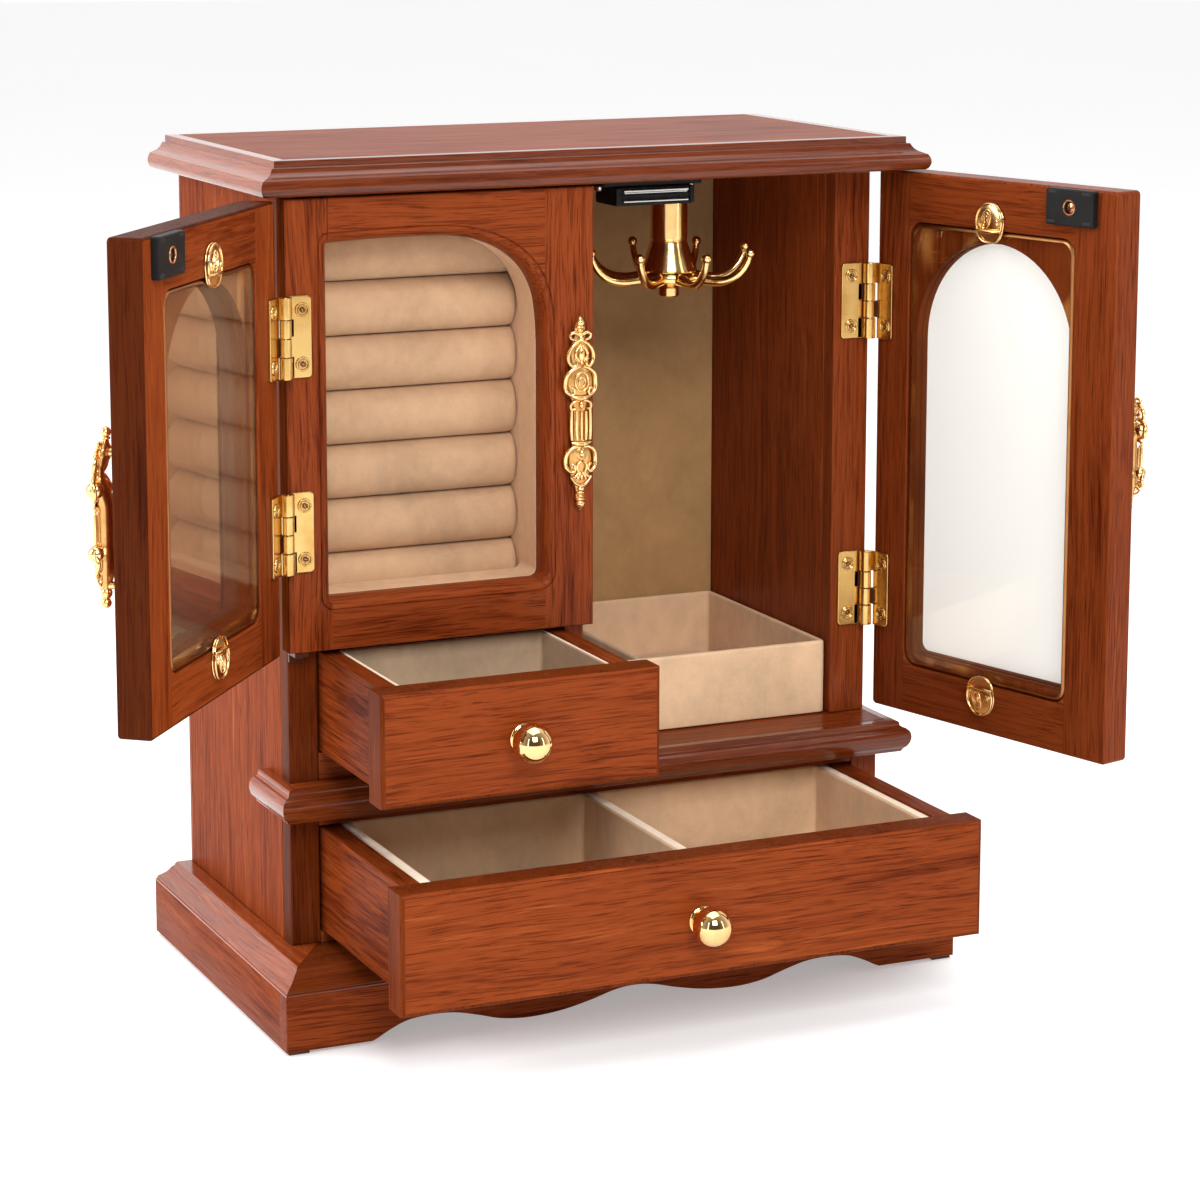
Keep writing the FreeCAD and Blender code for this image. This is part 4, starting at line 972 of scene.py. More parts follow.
for x in (11.4, 49.3):
    s.lathe([(0, 301.25), (1.5, 301.3), (1.95, 301.8), (2.0, 303.0), (0, 303.0)], (x, -21, 0), "z", n=28)
    s.rbox(x - 1.5, x + 1.5, -21.25, -20.75, 301.2, 301.6, 0.1)
s.done("catch_strips", [STEEL], "root", "catch_poles")

# ------------------------------------------------------------------ carousel
CX, CY = 51.4, 1.0
s = Shape()
col = [(0, 256.5), (3.4, 256.5), (4.0, 257.0), (4.0, 259.9), (3.5, 260.6), (2.0, 260.7), (2.0, 266.4), (10.6, 266.5), (11.0, 266.9), (10.9, 267.6),
       (10.3, 269.2), (9.5, 271.4), (8.7, 273.6), (8.0, 275.6), (7.4, 277.2), (7.2, 278.2), (6.95, 278.4), (6.9, 278.7), (6.95, 279.0), (7.15, 279.2),
       (7.2, 279.6), (7.2, 300.4), (7.45, 300.7), (7.7, 301.1), (7.7, 304.6), (8.0, 305.0), (9.4, 305.3), (9.9, 305.8), (9.9, 307.5), (0, 307.5)]
s.lathe(col, (CX, CY, 0), "z", n=64)
s.done("spindle_column", [BRASS_ARM], "root", "carousel_column", sharp=30)
s = Shape()
hub = [(2.15, 261.1), (6.2, 261.1), (7.2, 261.4), (7.9, 261.9), (9.4, 262.2), (10.6, 262.8), (11.0, 263.9), (10.9, 265.0), (10.3, 265.9), (9.2, 266.2), (2.15, 266.2)]
s.lathe(hub + hub[:1], (CX, CY, 0), "z", n=64)
s.done("carousel_disc", [BRASS_ARM], "carousel", "carousel_hub", sharp=30)
s = Shape()
for i in range(8):
    ang = math.radians(45 * i)
    pts, rad = [], []
    for r_, z_, q in ((9.0, 264.1, 2.5), (11.5, 263.9, 2.4), (15.0, 263.4, 2.1), (18.5, 263.1, 1.95)):
        pts.append((r_, z_))
        rad.append(q)
    for k in range(1, 9):
        a = math.radians(11 * k)
        d0 = math.radians(-6.0)
        pts.append((18.5 + 13.5 * (math.sin(a + d0) - math.sin(d0)), 263.2 + 13.5 * (math.cos(d0) - math.cos(a + d0))))
        rad.append(2.05 - 0.11 * k)
    p3 = [(CX + r_ * math.cos(ang), CY + r_ * math.sin(ang), z_) for r_, z_ in pts]
    s.tube(p3, rad, n=16, smooth=3)
    s.ball(p3[-1], 1.95, n=24)
    s.ringed((0, 0, 0), 0.95, 0.42, "z", n=20, k=8, xf=Matrix.Translation(Vector(p3[-2])))
o = s.done("carousel_arms", [BRASS_ARM], "carousel", "carousel_hooks", sharp=45)


# ------------------------------------------------------------------ hinges
def screw(s, x, y, z, out, xf=None, r=2.3, mat=0, dark=3, deep=2, turn=0.5):
    """Countersunk double ring round a recessed oval head."""
    face = "y" if out > 0 else "-y"
    # a disc of darker brass under the rings: painted shade of the gap round the head
    s.lathe([(0, 0.0), (r, 0.0), (r, 0.07), (0, 0.07)], (x, y, z), face, n=32, mat=deep, xf=xf)
    s.ringed((x, y + out * 0.12, z), r, 0.40, "y", mat=mat, xf=xf)
    s.ringed((x, y + out * 0.18, z), r * 0.62, 0.32, "y", mat=mat, xf=xf)
    # dark bronze centre: painted shade of the recess
    s.lathe([(0, 0.08), (r * 0.42, 0.08), (r * 0.42, 0.2), (r * 0.3, 0.26), (0, 0.28)], (x, y, z), face, n=24, mat=dark, xf=xf)
    rot = Matrix.Translation(Vector((x, y, z))) @ Matrix.Rotation(turn, 4, "Y")
    s.rbox(-0.62, 0.62, out * 0.2, out * 0.42, -0.13, 0.13, 0.05, mat=mat, xf=(xf @ rot) if xf is not None else rot)


def hinge_leaf(s, side, y_in, y_out, x0, x1, z, knucks, xf=None, out=-1, turn=0.4, barrel=2.5):
    """Leaf plate with rounded corners, its knuckles with softened ends and its screws."""
    top = 29.6
    a, b = (x0, x1) if side > 0 else (-x1, -x0)
    rr = [0.3, 1.5, 1.5, 0.3] if side > 0 else [1.5, 0.3, 0.3, 1.5]
    front = min(y_in, y_out) if out < 0 else max(y_in, y_out)
    s.plate(rect(a, b, z, z + top, rr, 5), [], front, -out, eased(0.28, abs(y_out - y_in), 0.1), xf=xf)
    spans = [(0, 8), (8.15, 14.72), (14.88, 21.45), (21.6, 29.6)]
    for k in knucks:
        p, q = spans[k]
        # the two middle knuckles are slimmer, with the notch of the leaf beside them; the block joining them is dark
        # bronze, painted shade of the notch
        slim = k in (1, 2)
        br = barrel - (0.2 if slim else 0.0)
        prof = [(1.15, p), (br - 0.35, p), (br - 0.1, p + 0.1), (br, p + 0.4), (br, q - 0.4), (br - 0.1, q - 0.1), (br - 0.35, q), (1.15, q), (1.15, p)]
        s.lathe([(r_, h + z) for r_, h in prof], (0, 0, 0), "z", n=36, xf=xf)
        lo, hi = (0.2, 4.0) if side > 0 else (-4.0, -0.2)
        s.rbox(lo, hi, min(y_in, y_out), max(y_in, y_out), z + p + 0.05, z + q - 0.05, 0.15, mat=3 if slim else 0, xf=xf)
    xs = 7.0 * side
    screw(s, xs, front, z + 5.0, out, xf, turn=turn)
    screw(s, xs, front, z + 24.6, out, xf, turn=turn + 0.9)


def pin(s, z, xf=None):
    s.lathe([(0, z - 0.02), (0.9, z - 0.02), (1.1, z + 0.3), (1.1, z + 29.3), (0.9, z + 29.6), (0, z + 29.6)], (0, 0, 0), "z", n=20, xf=xf)


# slots 2 and 3 carry painted shade: the screws' rings and centres, and the hinge notches
LEAF_MATS = [BRASS_LEAF, DARK, BRASS_DEEP, BRONZE_AND_SLOT_SHADE]
LEFT_AT, RIGHT_AT = Vector((-126.3, -54.2, 0)), Vector((121.4, -33.8, 0))
s = Shape()
for z in (242.5, 171.4):
    mtx = Matrix.Translation(LEFT_AT)
    hinge_leaf(s, 1, 1.8, 3.0, 2.2, 10.6, z, (0, 2), mtx, -1, 0.4)
    pin(s, z, mtx)
s.done("left_fixed_leaves", LEAF_MATS, "inner_door", "left_hinge_fixed")
s = Shape()
for z in (240.4, 126.2):
    mtx = Matrix.Translation(RIGHT_AT)
    hinge_leaf(s, -1, 1.8, 3.0, 2.2, 11.2, z, (0, 2), mtx, -1, 1.1)
    pin(s, z, mtx)
s.done("right_fixed_leaves", LEAF_MATS, "root", "right_hinge_fixed")


# ------------------------------------------------------------------ cast pulls
def cast_pull(s, at, L, Wd, R, bow=True):
    """Scrolled cast handle. v runs up it from -0.5 to 0.5, w across from -1 to 1, and it bows out from the door."""
    at = Vector(at)
    # how far the middle of the casting stands off, and how deep it is there
    crest = [(-0.50, .20, .9), (-.44, .30, 1.5), (-.40, .34, 1.3), (-.345, .46, 1.9), (-.29, .56, 2.3), (-.235, .66, 2.9), (-.19, .70, 3.1), (-.145, .62, 2.2), (-.10, .60, 1.9), (.06, .60, 1.9),
             (.10, .63, 2.2), (.15, .72, 3.1), (.20, .70, 2.9), (.25, .60, 2.3), (.30, .54, 2.1), (.345, .52, 1.9), (.39, .46, 1.6), (.43, .38, 1.2), (.465, .34, 1.4), (.50, .26, .9)]
    wide = [(-0.50, .03), (-.475, .26), (-.455, .24), (-.43, .34), (-.40, .30), (-.37, .44), (-.335, .62), (-.30, .74), (-.25, .84), (-.20, .82), (-.165, .62), (-.14, .52), (-.06, .50), (.03, .50),
            (.065, .58), (.10, .80), (.14, .92), (.185, .90), (.225, .72), (.27, .66), (.31, .72), (.345, .66), (.38, .46), (.41, .34), (.435, .40), (.455, .34), (.475, .24), (.50, .03)]
    k = L / 73.0
    q = 1.0 if k > 0.95 else max(0.78, k)
    # the handles that stand off the outer doors: front, back and half width of the casting, millimetres
    stand = [(-0.50, 5.9, 5.0, 0.5), (-.475, 7.0, 4.0, 1.3), (-.445, 6.4, 4.6, 0.9), (-.414, 7.2, 3.6, 1.7), (-.385, 6.8, 3.8, 1.6), (-.33, 7.3, 2.8, 3.0), (-.27, 7.7, 2.0, 4.2), (-.235, 7.9, 1.8, 4.6),
             (-.19, 8.2, 2.0, 4.6), (-.155, 7.8, 2.6, 3.6), (-.13, 7.8, 2.4, 3.5), (.055, 7.8, 2.4, 3.5), (.08, 7.5, 2.6, 3.6), (.12, 7.9, 3.0, 4.4), (.155, 8.2, 3.4, 4.6), (.195, 7.8, 4.6, 3.0), (.22, 7.4, 5.4, 1.9),
             (.265, 7.2, 5.4, 1.8), (.29, 7.0, 4.4, 2.6), (.34, 7.0, 2.8, 4.2), (.38, 6.7, 2.8, 3.8), (.41, 6.0, 3.4, 2.0), (.435, 5.4, 3.8, 1.0), (.472, 5.9, 2.9, 1.3), (.50, 4.9, 3.9, 0.5)]

    def lerp(table, v, col=1):
        for a_, b_ in zip(table, table[1:]):
            if a_[0] <= v <= b_[0]:
                return a_[col] + (b_[col] - a_[col]) * (v - a_[0]) / (b_[0] - a_[0])
        return table[0 if v < 0 else -1][col]

    def off(v):
        return (lerp(stand, v) + lerp(stand, v, 2)) / 2 if bow else 1.9

    def deep(v):
        return (lerp(stand, v) - lerp(stand, v, 2)) / 2 if bow else lerp(crest, v, 2) * 0.62

    def P(w, v, dn=0.0):
        # dn is in millimetres in front of the casting's own rounded face
        fall = deep(v) * (1 - math.sqrt(max(0.0, 1 - min(1.0, abs(w)) ** 2)))
        return at + Vector((w * Wd / 2, -(off(v) + deep(v) - fall + dn), v * L))

    # the casting's body: rounded in section, its outline that of the ornament
    t = bmesh.new()
    rows = []
    nv, na = 120, 22
    for i in range(nv + 1):
        v = -0.5 + i / nv
        hw = lerp(stand, v, 3) * (0.94 if q > 0.8 else 0.84) if bow else max(0.25, lerp(wide, v) * Wd / 2 * 0.90)
        dp = max(0.35, deep(v) * (0.94 if bow else 0.86))
        rows.append([t.verts.new(at + Vector((hw * math.cos(2 * math.pi * j / na), -(off(v) + dp * math.sin(2 * math.pi * j / na) * (1.0 if bow or math.sin(2 * math.pi * j / na) > 0 else 0.75)), v * L))) for j in range(na)])
    for r0, r1 in zip(rows, rows[1:]):
        for j in range(na):
            t.faces.new((r0[j], r0[(j + 1) % na], r1[(j + 1) % na], r1[j]))
    t.faces.new(rows[0])
    t.faces.new(rows[-1])
    bmesh.ops.recalc_face_normals(t, faces=t.faces[:])
    s.add(t, 1)

    def pair(points, radii, **kw):
        for sg in (1, -1):
            s.tube([P(w * sg, v, dn) for w, v, dn in points], [r_ * (0.70 if not bow else 0.80) * (q if k < 0.9 else 1.0) for r_ in radii], n=10, smooth=4, **kw)

    # finials: a pointed bud above and below, on little collars
    for sg in (() if bow else (1, -1)):
        s.lathe([(0, 0), (1.5 * q, 0.15), (1.9 * q, 0.9 * k), (1.55 * q, 1.9 * k), (0.85 * q, 2.9 * k), (0.0, 3.6 * k)], P(0, 0, 0) * 0 + at + Vector((0, -off(0.455 * sg) - 0.2, 0.45 * sg * L)), "z", n=20,
                xf=None if sg > 0 else Matrix.Translation(at + Vector((0, -off(-0.455) - 0.2, -0.45 * L))) @ Matrix.Rotation(math.pi, 4, "X") @ Matrix.Translation(-(at + Vector((0, -off(-0.455) - 0.2, -0.45 * L)))))
        for v, r_ in ((0.443, 2.0), (0.425, 1.55), (0.408, 1.9)):
            s.ball(at + Vector((0, -off(v * sg) - 0.1, v * sg * L)), (r_ * q, 1.5 * q, 0.75 * k), n=16)
    if bow:
        # ball finials, and the large balls that stand out beside the bars
        for v, r_ in ((0.470, 1.75), (-0.414, 2.0), (-0.470, 1.75)):
            s.ball(at + Vector((0, -off(v), v * L)), r_ * (1.0 if q > 0.8 else 0.85), n=28)
            s.ringed((at.x, at.y - off(v), at.z + (v - math.copysign(0.033, v)) * L), 1.05, 0.45, "z", n=24, k=10)
        for v, r_ in ((0.157, 3.05), (-0.190, 2.9)):
            for sg in (1, -1):
                s.ball(at + Vector((3.5 * sg, -7.1, v * L)), r_ * (1.0 if q > 0.8 else 0.85), n=32)
    # crown with its two horns
    pair([(0.10, 0.402, 0.1), (0.42, 0.415, 0.0), (0.66, 0.405, -0.2), (0.60, 0.385, -0.1), (0.30, 0.378, 0.1)], [0.8, 0.95, 0.85, 0.8, 0.6])
    s.ball(P(0, 0.385, 0.15), (1.1 * q, 0.9 * q, 1.5 * k), n=16)
    # shoulders: long leaves that frame the hollow and curl in at the foot
    pair([(0.10, 0.372, 0.2), (0.48, 0.352, 0.2), (0.78, 0.315, 0.1), (0.80, 0.275, 0.1), (0.58, 0.245, 0.2), (0.34, 0.252, 0.3), (0.32, 0.275, 0.3), (0.46, 0.285, 0.3)], [0.8, 1.05, 1.2, 1.15, 1.0, 0.9, 0.75, 0.6])
    pair([(0.06, 0.350, 0.3), (0.34, 0.322, 0.3), (0.36, 0.296, 0.3), (0.14, 0.268, 0.3)], [0.6, 0.8, 0.8, 0.6])
    s.ball(P(0, 0.305, 0.1), (1.35 * q, 1.2 * q, 2.9 * k), n=20)
    for v in (0.338, 0.262):
        s.ball(P(0, v, 0.35), (0.75 * q, 0.7 * q, 0.8 * k), n=14)
    # upper boss: an eye in an oval, between two strong scrolls
    s.ball(at + Vector((0, -off(0.165) - deep(0.165) * 0.42, 0.165 * L)), (3.0 * q, (deep(0.165) * 0.66), 4.1 * k), n=28, mat=0 if bow else 1)
    oval = [P(0.42 * math.cos(math.radians(a_)), 0.165 + 0.048 * math.sin(math.radians(a_)), 0.15) for a_ in range(0, 376, 15)]
    s.tube(oval, 0.46 * q, n=8, smooth=2, caps=False)
    oval = [P(0.20 * math.cos(math.radians(a_)), 0.163 + 0.024 * math.sin(math.radians(a_)), 0.32) for a_ in range(0, 376, 20)]
    s.tube(oval, 0.34 * q, n=8, smooth=2, caps=False)
    pair([(0.08, 0.243, 0.2), (0.48, 0.232, 0.1), (0.86, 0.205, 0.1), (0.98, 0.165, 0.0), (0.94, 0.122, 0.0), (0.66, 0.098, 0.2), (0.46, 0.108, 0.3), (0.50, 0.130, 0.3), (0.66, 0.133, 0.3)],
         [0.8, 1.05, 1.3, 1.4, 1.3, 1.05, 0.85, 0.75, 0.7])
    # band and neck above the bars
    s.tube([P(-0.62, 0.092, 0.1), P(-0.3, 0.083, 0.4), P(0, 0.080, 0.5), P(0.3, 0.083, 0.4), P(0.62, 0.092, 0.1)], [0.5 * q, 0.75 * q, 0.85 * q, 0.75 * q, 0.5 * q], n=10, smooth=4)
    pair([(0.12, 0.068, 0.3), (0.46, 0.062, 0.2), (0.66, 0.045, 0.0), (0.60, 0.022, 0.0), (0.38, 0.026, 0.2)], [0.7, 0.85, 0.9, 0.75, 0.6])
    s.ball(P(0, 0.045, 0.25), (0.95 * q, 0.8 * q, 1.5 * k), n=16)
    # fluted bars
    pair([(0.60, 0.030, 0.0), (0.62, -0.03, 0.0), (0.62, -0.09, 0.0), (0.58, -0.135, 0.0)], [0.9, 1.05, 1.05, 0.9])
    pair([(0.30, 0.012, 0.25), (0.31, -0.04, 0.25), (0.31, -0.09, 0.25), (0.28, -0.135, 0.25)], [0.8, 0.95, 0.95, 0.8])
    s.tube([P(0, 0.012, 0.35), P(0, -0.06, 0.35), P(0, -0.135, 0.35)], [0.5 * q, 0.62 * q, 0.5 * q], n=10, smooth=4)
    s.tube([P(-0.60, -0.148, 0.0), P(-0.3, -0.153, 0.35), P(0, -0.155, 0.45), P(0.3, -0.153, 0.35), P(0.60, -0.148, 0.0)], [0.5 * q, 0.7 * q, 0.75 * q, 0.7 * q, 0.5 * q], n=10, smooth=4)
    # lower boss and scrolls
    s.ball(at + Vector((0, -off(-0.205) - deep(-0.205) * 0.42, -0.205 * L)), (2.6 * q, (deep(-0.205) * 0.66), 3.3 * k), n=28, mat=0 if bow else 1)
    s.ball(P(0, -0.205, 0.15), (1.15 * q, 0.9 * q, 1.5 * k), n=16)
    pair([(0.10, -0.168, 0.2), (0.52, -0.172, 0.1), (0.86, -0.195, 0.0), (0.98, -0.235, 0.0), (0.90, -0.278, 0.0), (0.62, -0.298, 0.2), (0.42, -0.285, 0.3), (0.50, -0.262, 0.3), (0.64, -0.258, 0.2)],
         [0.8, 1.0, 1.25, 1.35, 1.25, 1.0, 0.85, 0.75, 0.65])
    pair([(0.10, -0.245, 0.3), (0.30, -0.262, 0.3), (0.26, -0.292, 0.3), (0.06, -0.312, 0.3)], [0.6, 0.8, 0.75, 0.6])
    # shell and tail
    for w1, v1 in ((0, -0.350), (0.28, -0.345), (-0.28, -0.345), (0.54, -0.328), (-0.54, -0.328)):
        s.tube([P(w1 * 0.3, -0.300, 0.25), P(w1 * 0.75, -0.322, 0.3), P(w1, v1, 0.1)], [0.4 * q, 0.62 * q, 0.4 * q], n=8, smooth=4)
    s.tube([P(-0.66, -0.325, 0.0), P(-0.36, -0.358, 0.1), P(0, -0.370, 0.2), P(0.36, -0.358, 0.1), P(0.66, -0.325, 0.0)], [0.42 * q, 0.58 * q, 0.65 * q, 0.58 * q, 0.42 * q], n=8, smooth=4)
    s.ball(P(0, -0.388, 0.0), (1.5 * q, 1.1 * q, 1.1 * k), n=16)
    if bow:
        # turned posts on small roses carry the casting
        for v in (0.36, -0.37):
            nn = lerp(stand, v, 2) + 0.4
            c_ = at + Vector((0, 0, v * L))
            s.lathe([(0, 0), (2.7 * q, 0), (3.0 * q, 0.3), (2.8 * q, 0.8), (1.9 * q, 1.1), (1.5 * q, 1.6), (1.3 * q, nn * 0.5), (1.6 * q, nn * 0.8), (1.8 * q, nn + 0.2), (0, nn + 0.2)], c_, "-y", n=24)
            for a_ in range(8):
                an = math.radians(45 * a_)
                s.ball(c_ + Vector((2.35 * q * math.cos(an), -0.5, 2.35 * q * math.sin(an))), (0.7 * q, 0.5, 0.7 * q), n=10)
    else:
        # it lies on the door on a thin pierced ground
        for v, rz in ((0.30, 4.4), (0.155, 5.0), (0.0, 5.0), (-0.11, 4.0), (-0.23, 5.0), (-0.32, 3.2), (0.42, 2.4), (-0.42, 2.4)):
            s.ball(at + Vector((0, -0.95, v * L)), (lerp(wide, v) * Wd / 2 * 0.82, 0.95, rz * k), n=16)


s = Shape()
cast_pull(s, (-11.05, -51.2, 222.5), 73, 12.4, 4.8, bow=False)
s.done("inner_cast_pull", [BRASS_CAST, BRASS_DEEP], "inner_door", "inner_pull", sharp=50, weighted=False)


# ------------------------------------------------------------------ the two outer doors
def outer_door(tag, side, origin, angle, gap, wide, low, pocket, pane, centre, apex, archlow, hinges, buttons, strike, handle):
    world = Matrix.Translation(origin * MM) @ Matrix.Rotation(math.radians(angle), 4, "Z")
    body = tag + "_door"
    wd = W[tag]

    def X(u):
        return side * (gap + u)

    def xr(a, b):
        return (X(a), X(b)) if side > 0 else (X(b), X(a))

    TOP, IN, T = 306.5, -3.0, 12.1
    # frame: one outline with the recess for the pane cut right through it
    x0, x1 = xr(0, wide)
    p0, p1 = xr(*pocket)
    z0, z1 = pane
    recess = rect(p0, p1, z0, z1, 6.0, 9)
    s = Shape()
    # rim faces take the door's edge wood, which on the left door is painted shade
    s.plate(rect(x0, x1, low, TOP, 1.7, 5), [(recess, [(0.55, 0.0), (0.3, 0.06), (0.1, 0.22), (0.0, 0.5), (0.0, 11.9), (0.2, 12.1)], False)], IN, -1, eased(1.0, T, 1.0), rim=3)
    # outside panel, set in the frame with a fine groove round it and a low raised field
    s.plate(grow(ccw(recess), 0.05), [], IN - T + 0.05, 1, [(1.0, 0.35), (0.6, 0.35), (0.3, 0.5), (0.0, 0.9), (0.0, 2.8)])
    f0, f1 = p0 + 8, p1 - 8
    s.plate(rect(f0, f1, z0 + 8, z1 - 8, 5.0, 8), [], IN - T + 0.05, 1, [(1.6, 0.0), (1.0, 0.06), (0.4, 0.22), (0.0, 0.36), (0.0, 0.8)])
    # arched plate over the mirror
    c = X(centre)
    arch = rect(c - 40, c + 40, archlow, apex - 40, [4.0, 4.0, 0.0, 0.0], 6)[:-2]
    arch += [(c + 40 * math.cos(math.radians(a)), apex - 40 + 40 * math.sin(math.radians(a))) for a in range(0, 181, 5)]
    s.plate(recess, [(arch, [(0.5, 0.0), (0.25, 0.08), (0.06, 0.3), (0.0, 0.6), (0.0, 2.5), (-0.35, 2.62), (-0.5, 2.9), (-0.5, 5.25)], False)], IN - 2.05, -1, [(0.0, 0.0), (0.0, 5.25)], mat=1, hole_rim=2)
    s.done(tag + "_door_frame", [wd, W["amber"], ARCH_WALL, W[tag + "_edge"]], body, (tag + "_door_stiles", tag + "_door_rails"), world)
    # clear pane
    s = Shape()
    # the rim faces of the pane take the amber metal, a painted glint of the refracting edge
    s.plate(grow(ccw(recess), -0.3), [], IN - 0.2, -1, [(1.5, 0.0), (1.05, 0.10), (0.65, 0.32), (0.3, 0.62), (0.1, 0.95), (0.0, 1.3), (0.0, 1.8)], mat=0, rim=1)
    s.done(tag + "_pane", [PANE, PANE_RIM_GLINT], body, tag + "_clear_pane", world)
    # strike plate
    s = Shape()
    a, b = xr(strike[0], strike[1])
    zb, zt = strike[2], TOP - 0.3
    s.plate(rect(a, b, zb, zt, 1.1, 5), [(rect((a + b) / 2 - 2.2, (a + b) / 2 + 2.2, (zb + zt) / 2 - 2.2, (zb + zt) / 2 + 2.2, 2.19, 8), [(0.5, 0.0), (0.1, 0.35), (0.0, 1.4)], True)],
            IN + 3.0, -1, eased(0.55, 3.0, 0.05), mat=0)
    # moulded corners of the plate: small raised lugs and a pip
    for xx, zz in ((a + 3.2, zt - 1.3), (b - 3.2, zt - 1.3), (b - 2.6, zb + 1.4), (a + 3.0, zb + 1.5)):
        s.rbox(xx - 2.0, xx + 2.0, IN + 2.7, IN + 3.05, zz - 0.55, zz + 0.55, 0.15, mat=2)
    m_ = ((a + b) / 2, IN + 3.0, (zb + zt) / 2)
    s.ringed((m_[0], m_[1] - 0.05, m_[2]), 2.65, 0.38, "y", mat=1)
    s.lathe([(0, -1.3), (1.9, -1.3), (1.9, -0.9), (1.2, -0.55), (0, -0.45)], m_, "y", n=28, mat=1)
    s.rbox(m_[0] - 1.3, m_[0] + 1.3, m_[1] - 0.6, m_[1] - 0.4, m_[2] - 0.22, m_[2] + 0.22, 0.05, mat=2)
    s.rbox(m_[0] - 0.22, m_[0] + 0.22, m_[1] - 0.6, m_[1] - 0.4, m_[2] - 1.3, m_[2] + 1.3, 0.05, mat=2)
    s.done(tag + "_strike", [BLACK, COPPER, DARK], body, tag + "_strike_plate", world)
    # hinge leaves and the buttons' screws
    s = Shape()
    for z in hinges:
        hinge_leaf(s, side, -3.0, -1.8, 2.25, 10.4, z, (1, 3), None, 1, 0.2)
    for pivot, _ in buttons:
        s.lathe([(0, -3.0), (1.4, -3.0), (1.4, -1.2), (0, -1.15)], (c, 0, pivot), "y", n=24)
    s.done(tag + "_leaves", LEAF_MATS, body, tag + "_hinge_leaves", world)
    # turn buttons: stamped disc with a raised edge and leaf, a fold across it and a thin tongue
    for pivot, upper in buttons:
        f = 1 if upper else -1

        def at(x_, z_, y_):
            return (c + x_, y_, pivot + z_ * f)

        egg = [(6.9 * math.cos(math.radians(a_)), 7.4 * math.sin(math.radians(a_)) - 1.6) for a_ in range(-24, 205, 6)]
        tongue = [(-6.25, -5.4), (-5.3, -7.4), (-3.6, -8.9), (-1.4, -9.55), (1.4, -9.55), (3.6, -8.9), (5.3, -7.4), (6.25, -5.4)]
        s = Shape()
        s.plate([(c + x_, pivot + z_ * f) for x_, z_ in egg + tongue], [], -2.2, -1, [(0.35, 0.0), (0.12, 0.08), (0.0, 0.25), (0.0, 0.5), (0.15, 0.62)])
        # domed disc
        dome = bmesh.new()
        rows = []
        for q in (1.0, 0.93, 0.82, 0.66, 0.48, 0.28):
            h = -2.05 + 1.15 * math.sqrt(max(0.0, 1 - q * q * 0.94))
            rows.append([dome.verts.new(at(6.7 * q * math.cos(2 * math.pi * i / 48), 7.1 * q * math.sin(2 * math.pi * i / 48) * (1.0 if math.sin(2 * math.pi * i / 48) > 0 else 0.52) - 1.6, h)) for i in range(48)])
        for r0, r1 in zip(rows, rows[1:]):
            for i in range(48):
                dome.faces.new((r0[i], r0[(i + 1) % 48], r1[(i + 1) % 48], r1[i]))
        dome.faces.new(rows[-1])
        bmesh.ops.recalc_face_normals(dome, faces=dome.faces[:])
        # the disc has its back at the plate
        low_ring = rows[0]
        s.add(dome, 0)
        # raised edge, open towards the tongue
        s.tube([at(6.45 * math.cos(math.radians(a_)), 6.95 * math.sin(math.radians(a_)) - 1.6, -1.55) for a_ in range(-30, 211, 6)], 0.48, n=10, smooth=0)
        s.tube([at(x_, z_, -1.75) for x_, z_ in ((-6.1, -5.6), (-5.2, -7.3), (-3.5, -8.7), (-1.3, -9.25), (1.3, -9.25), (3.5, -8.7), (5.2, -7.3), (6.1, -5.6))], 0.30, n=8, smooth=0)
        # fold
        s.tube([at(-6.35, -4.6, -1.55), at(-3.0, -5.0, -1.05), at(0, -5.1, -0.95), at(3.0, -5.0, -1.05), at(6.35, -4.6, -1.55)], [0.45, 0.72, 0.80, 0.72, 0.45], n=12, smooth=5)
        # engraved leaf with its eye, set askew
        for big, thick, h in ((1.0, 0.30, -0.78), (0.66, 0.26, -0.66), (0.34, 0.24, -0.60)):
            ring_ = []
            for a_ in range(0, 360, 10):
                u_, v_ = 2.35 * big * math.cos(math.radians(a_)), 4.1 * big * math.sin(math.radians(a_))
                u2, v2 = u_ * 0.88 - v_ * 0.47 * 0.55, u_ * 0.26 + v_ * 0.86
                d2 = ((u2 + 0.9) / 6.7) ** 2 + ((v2 - 0.4 + 1.6) / 7.1) ** 2
                ring_.append(at(u2 + 0.9, v2 - 0.4, -2.05 + 1.15 * math.sqrt(max(0.05, 1 - d2 * 0.94)) + 0.04))
            s.tube(ring_ + ring_[:2], thick * 0.75, n=8, smooth=0, caps=False)
        for x_, z_ in ((4.6, -2.6), (-4.6, -1.8)):
            s.tube([at(x_ * 0.75, z_ - 1.4, -1.25), at(x_, z_, -1.12), at(x_ * 0.98, z_ + 1.8, -1.25)], [0.2, 0.5, 0.2], n=8, smooth=4)
        s.lathe([(1.62, -2.9), (3.4, -2.9), (3.4, -1.4), (1.62, -1.4), (1.62, -2.9)], (c, 0, pivot), "y", n=24)
        place = "top" if upper else "bottom"
        s.done("%s_button_%s" % (tag, place), [BRASS_CAST], "%s_button_%s" % (tag, place), "%s_turn_button_%s" % (tag, place), world, sharp=40)
    # pull on the outside
    L, mid, reach = handle
    s = Shape()
    cast_pull(s, (side * (gap + reach), IN - T, mid), L, 12.6, 11.2, bow=True)
    s.done(tag + "_cast_pull", [BRASS_CAST, BRASS_DEEP], body, tag + "_pull", world, sharp=50, weighted=False)


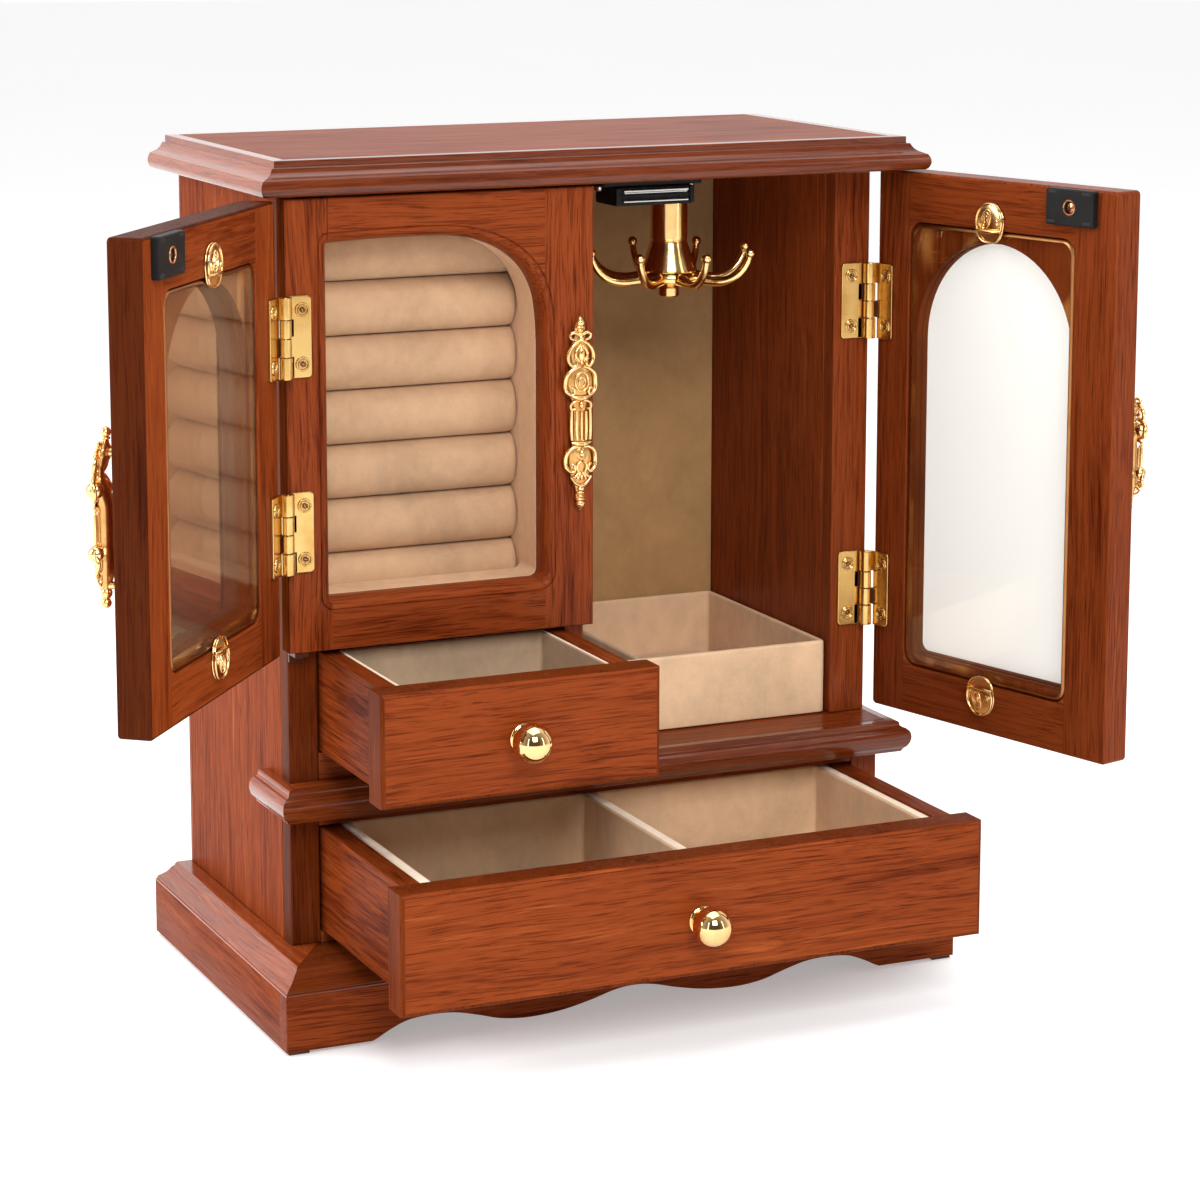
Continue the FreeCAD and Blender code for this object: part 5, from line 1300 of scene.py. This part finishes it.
outer_door("left", 1, LEFT_AT, -129.15, 1.6, 124.0, 141.4, (19.5, 105.5), (159.0, 287.3), 62.5, 285.0, 164.0,
           (242.5, 171.4), ((292.8, True), (153.6, False)), (93.0, 116.0, 292.0), (60.4, 213.9, 117.0))
outer_door("right", -1, RIGHT_AT, 104.93, 1.46, 122.7, 94.0, (17.0, 102.0), (113.0, 287.5), 60.0, 282.4, 118.0,
           (240.4, 126.2), ((292.2, True), (106.6, False)), (90.0, 113.0, 292.6), (46.0, 210.0, 115.7))

# ------------------------------------------------------------------ floor, light
bm = bmesh.new()
bmesh.ops.create_circle(bm, cap_ends=True, radius=9.0, segments=96)
me = bpy.data.meshes.new("floor")
bm.to_mesh(me)
bm.free()
floor = bpy.data.objects.new("floor", me)
SCN.collection.objects.link(floor)
floor.location = (0, 0, -0.0002)
b = Nodes("floor_paper")
co = b.new("ShaderNodeTexCoord").outputs["Object"]
paper = b.noise(co, 3.0, 2.0, 0.5)
b.link(b.ramp(paper, [(0.3, (0.80, 0.80, 0.80)), (0.7, (0.815, 0.815, 0.815))]), b.p.inputs["Base Color"])
b.set(Roughness=0.7, Specular_IOR_Level=0.25, Emission_Strength=0.34)
b.p.inputs["Emission Color"].default_value = (1.0, 1.0, 1.0, 1.0)
me.materials.append(b.mat)

world = bpy.data.worlds.new("studio")
SCN.world = world
world.use_nodes = True
wt = world.node_tree
wt.nodes.clear()
wo = wt.nodes.new("ShaderNodeOutputWorld")
bg = wt.nodes.new("ShaderNodeBackground")
wt.links.new(bg.outputs[0], wo.inputs[0])
tc = wt.nodes.new("ShaderNodeTexCoord")
dot = wt.nodes.new("ShaderNodeVectorMath")
dot.operation = "DOT_PRODUCT"
wt.links.new(tc.outputs["Generated"], dot.inputs[0])
dot.inputs[1].default_value = tuple(Vector((-0.25, -1.0, 0.22)).normalized())
rp = wt.nodes.new("ShaderNodeValToRGB")
rp.color_ramp.elements[0].position, rp.color_ramp.elements[0].color = 0.02, (1.0, 1.0, 1.0, 1.0)
rp.color_ramp.elements[1].position, rp.color_ramp.elements[1].color = 0.92, (0.10, 0.09, 0.085, 1.0)
mid = rp.color_ramp.elements.new(0.20)
mid.color = (0.58, 0.58, 0.58, 1.0)
wt.links.new(dot.outputs["Value"], rp.inputs[0])
wt.links.new(rp.outputs[0], bg.inputs["Color"])
bg.inputs["Strength"].default_value = 1.06


def softbox(name, loc, target, size, power, color=(1, 1, 1)):
    d = bpy.data.lights.new(name, "AREA")
    d.shape = "RECTANGLE"
    d.size, d.size_y = size
    d.energy = power
    d.color = color
    o = bpy.data.objects.new(name, d)
    SCN.collection.objects.link(o)
    o.location = loc
    o.rotation_euler = (Vector(target) - Vector(loc)).to_track_quat("-Z", "Y").to_euler()
    return o


softbox("key", (-0.35, -1.75, 1.35), (0, 0, 0.12), (0.9, 0.9), 30)
softbox("left_back", (-1.7, 0.35, 0.85), (-0.1, 0, 0.12), (0.7, 1.0), 20)
softbox("top", (0.05, -0.15, 1.9), (0, 0, 0.2), (1.5, 1.3), 16)

softbox("strip_left", (-1.35, -1.15, 0.62), (0, 0, 0.22), (0.10, 1.3), 2.4)
softbox("strip_right", (1.05, -1.45, 0.62), (0, 0, 0.22), (0.10, 1.3), 2.4)

SCN.view_settings.view_transform = "Standard"
SCN.view_settings.look = "None"
SCN.view_settings.exposure = 0.0
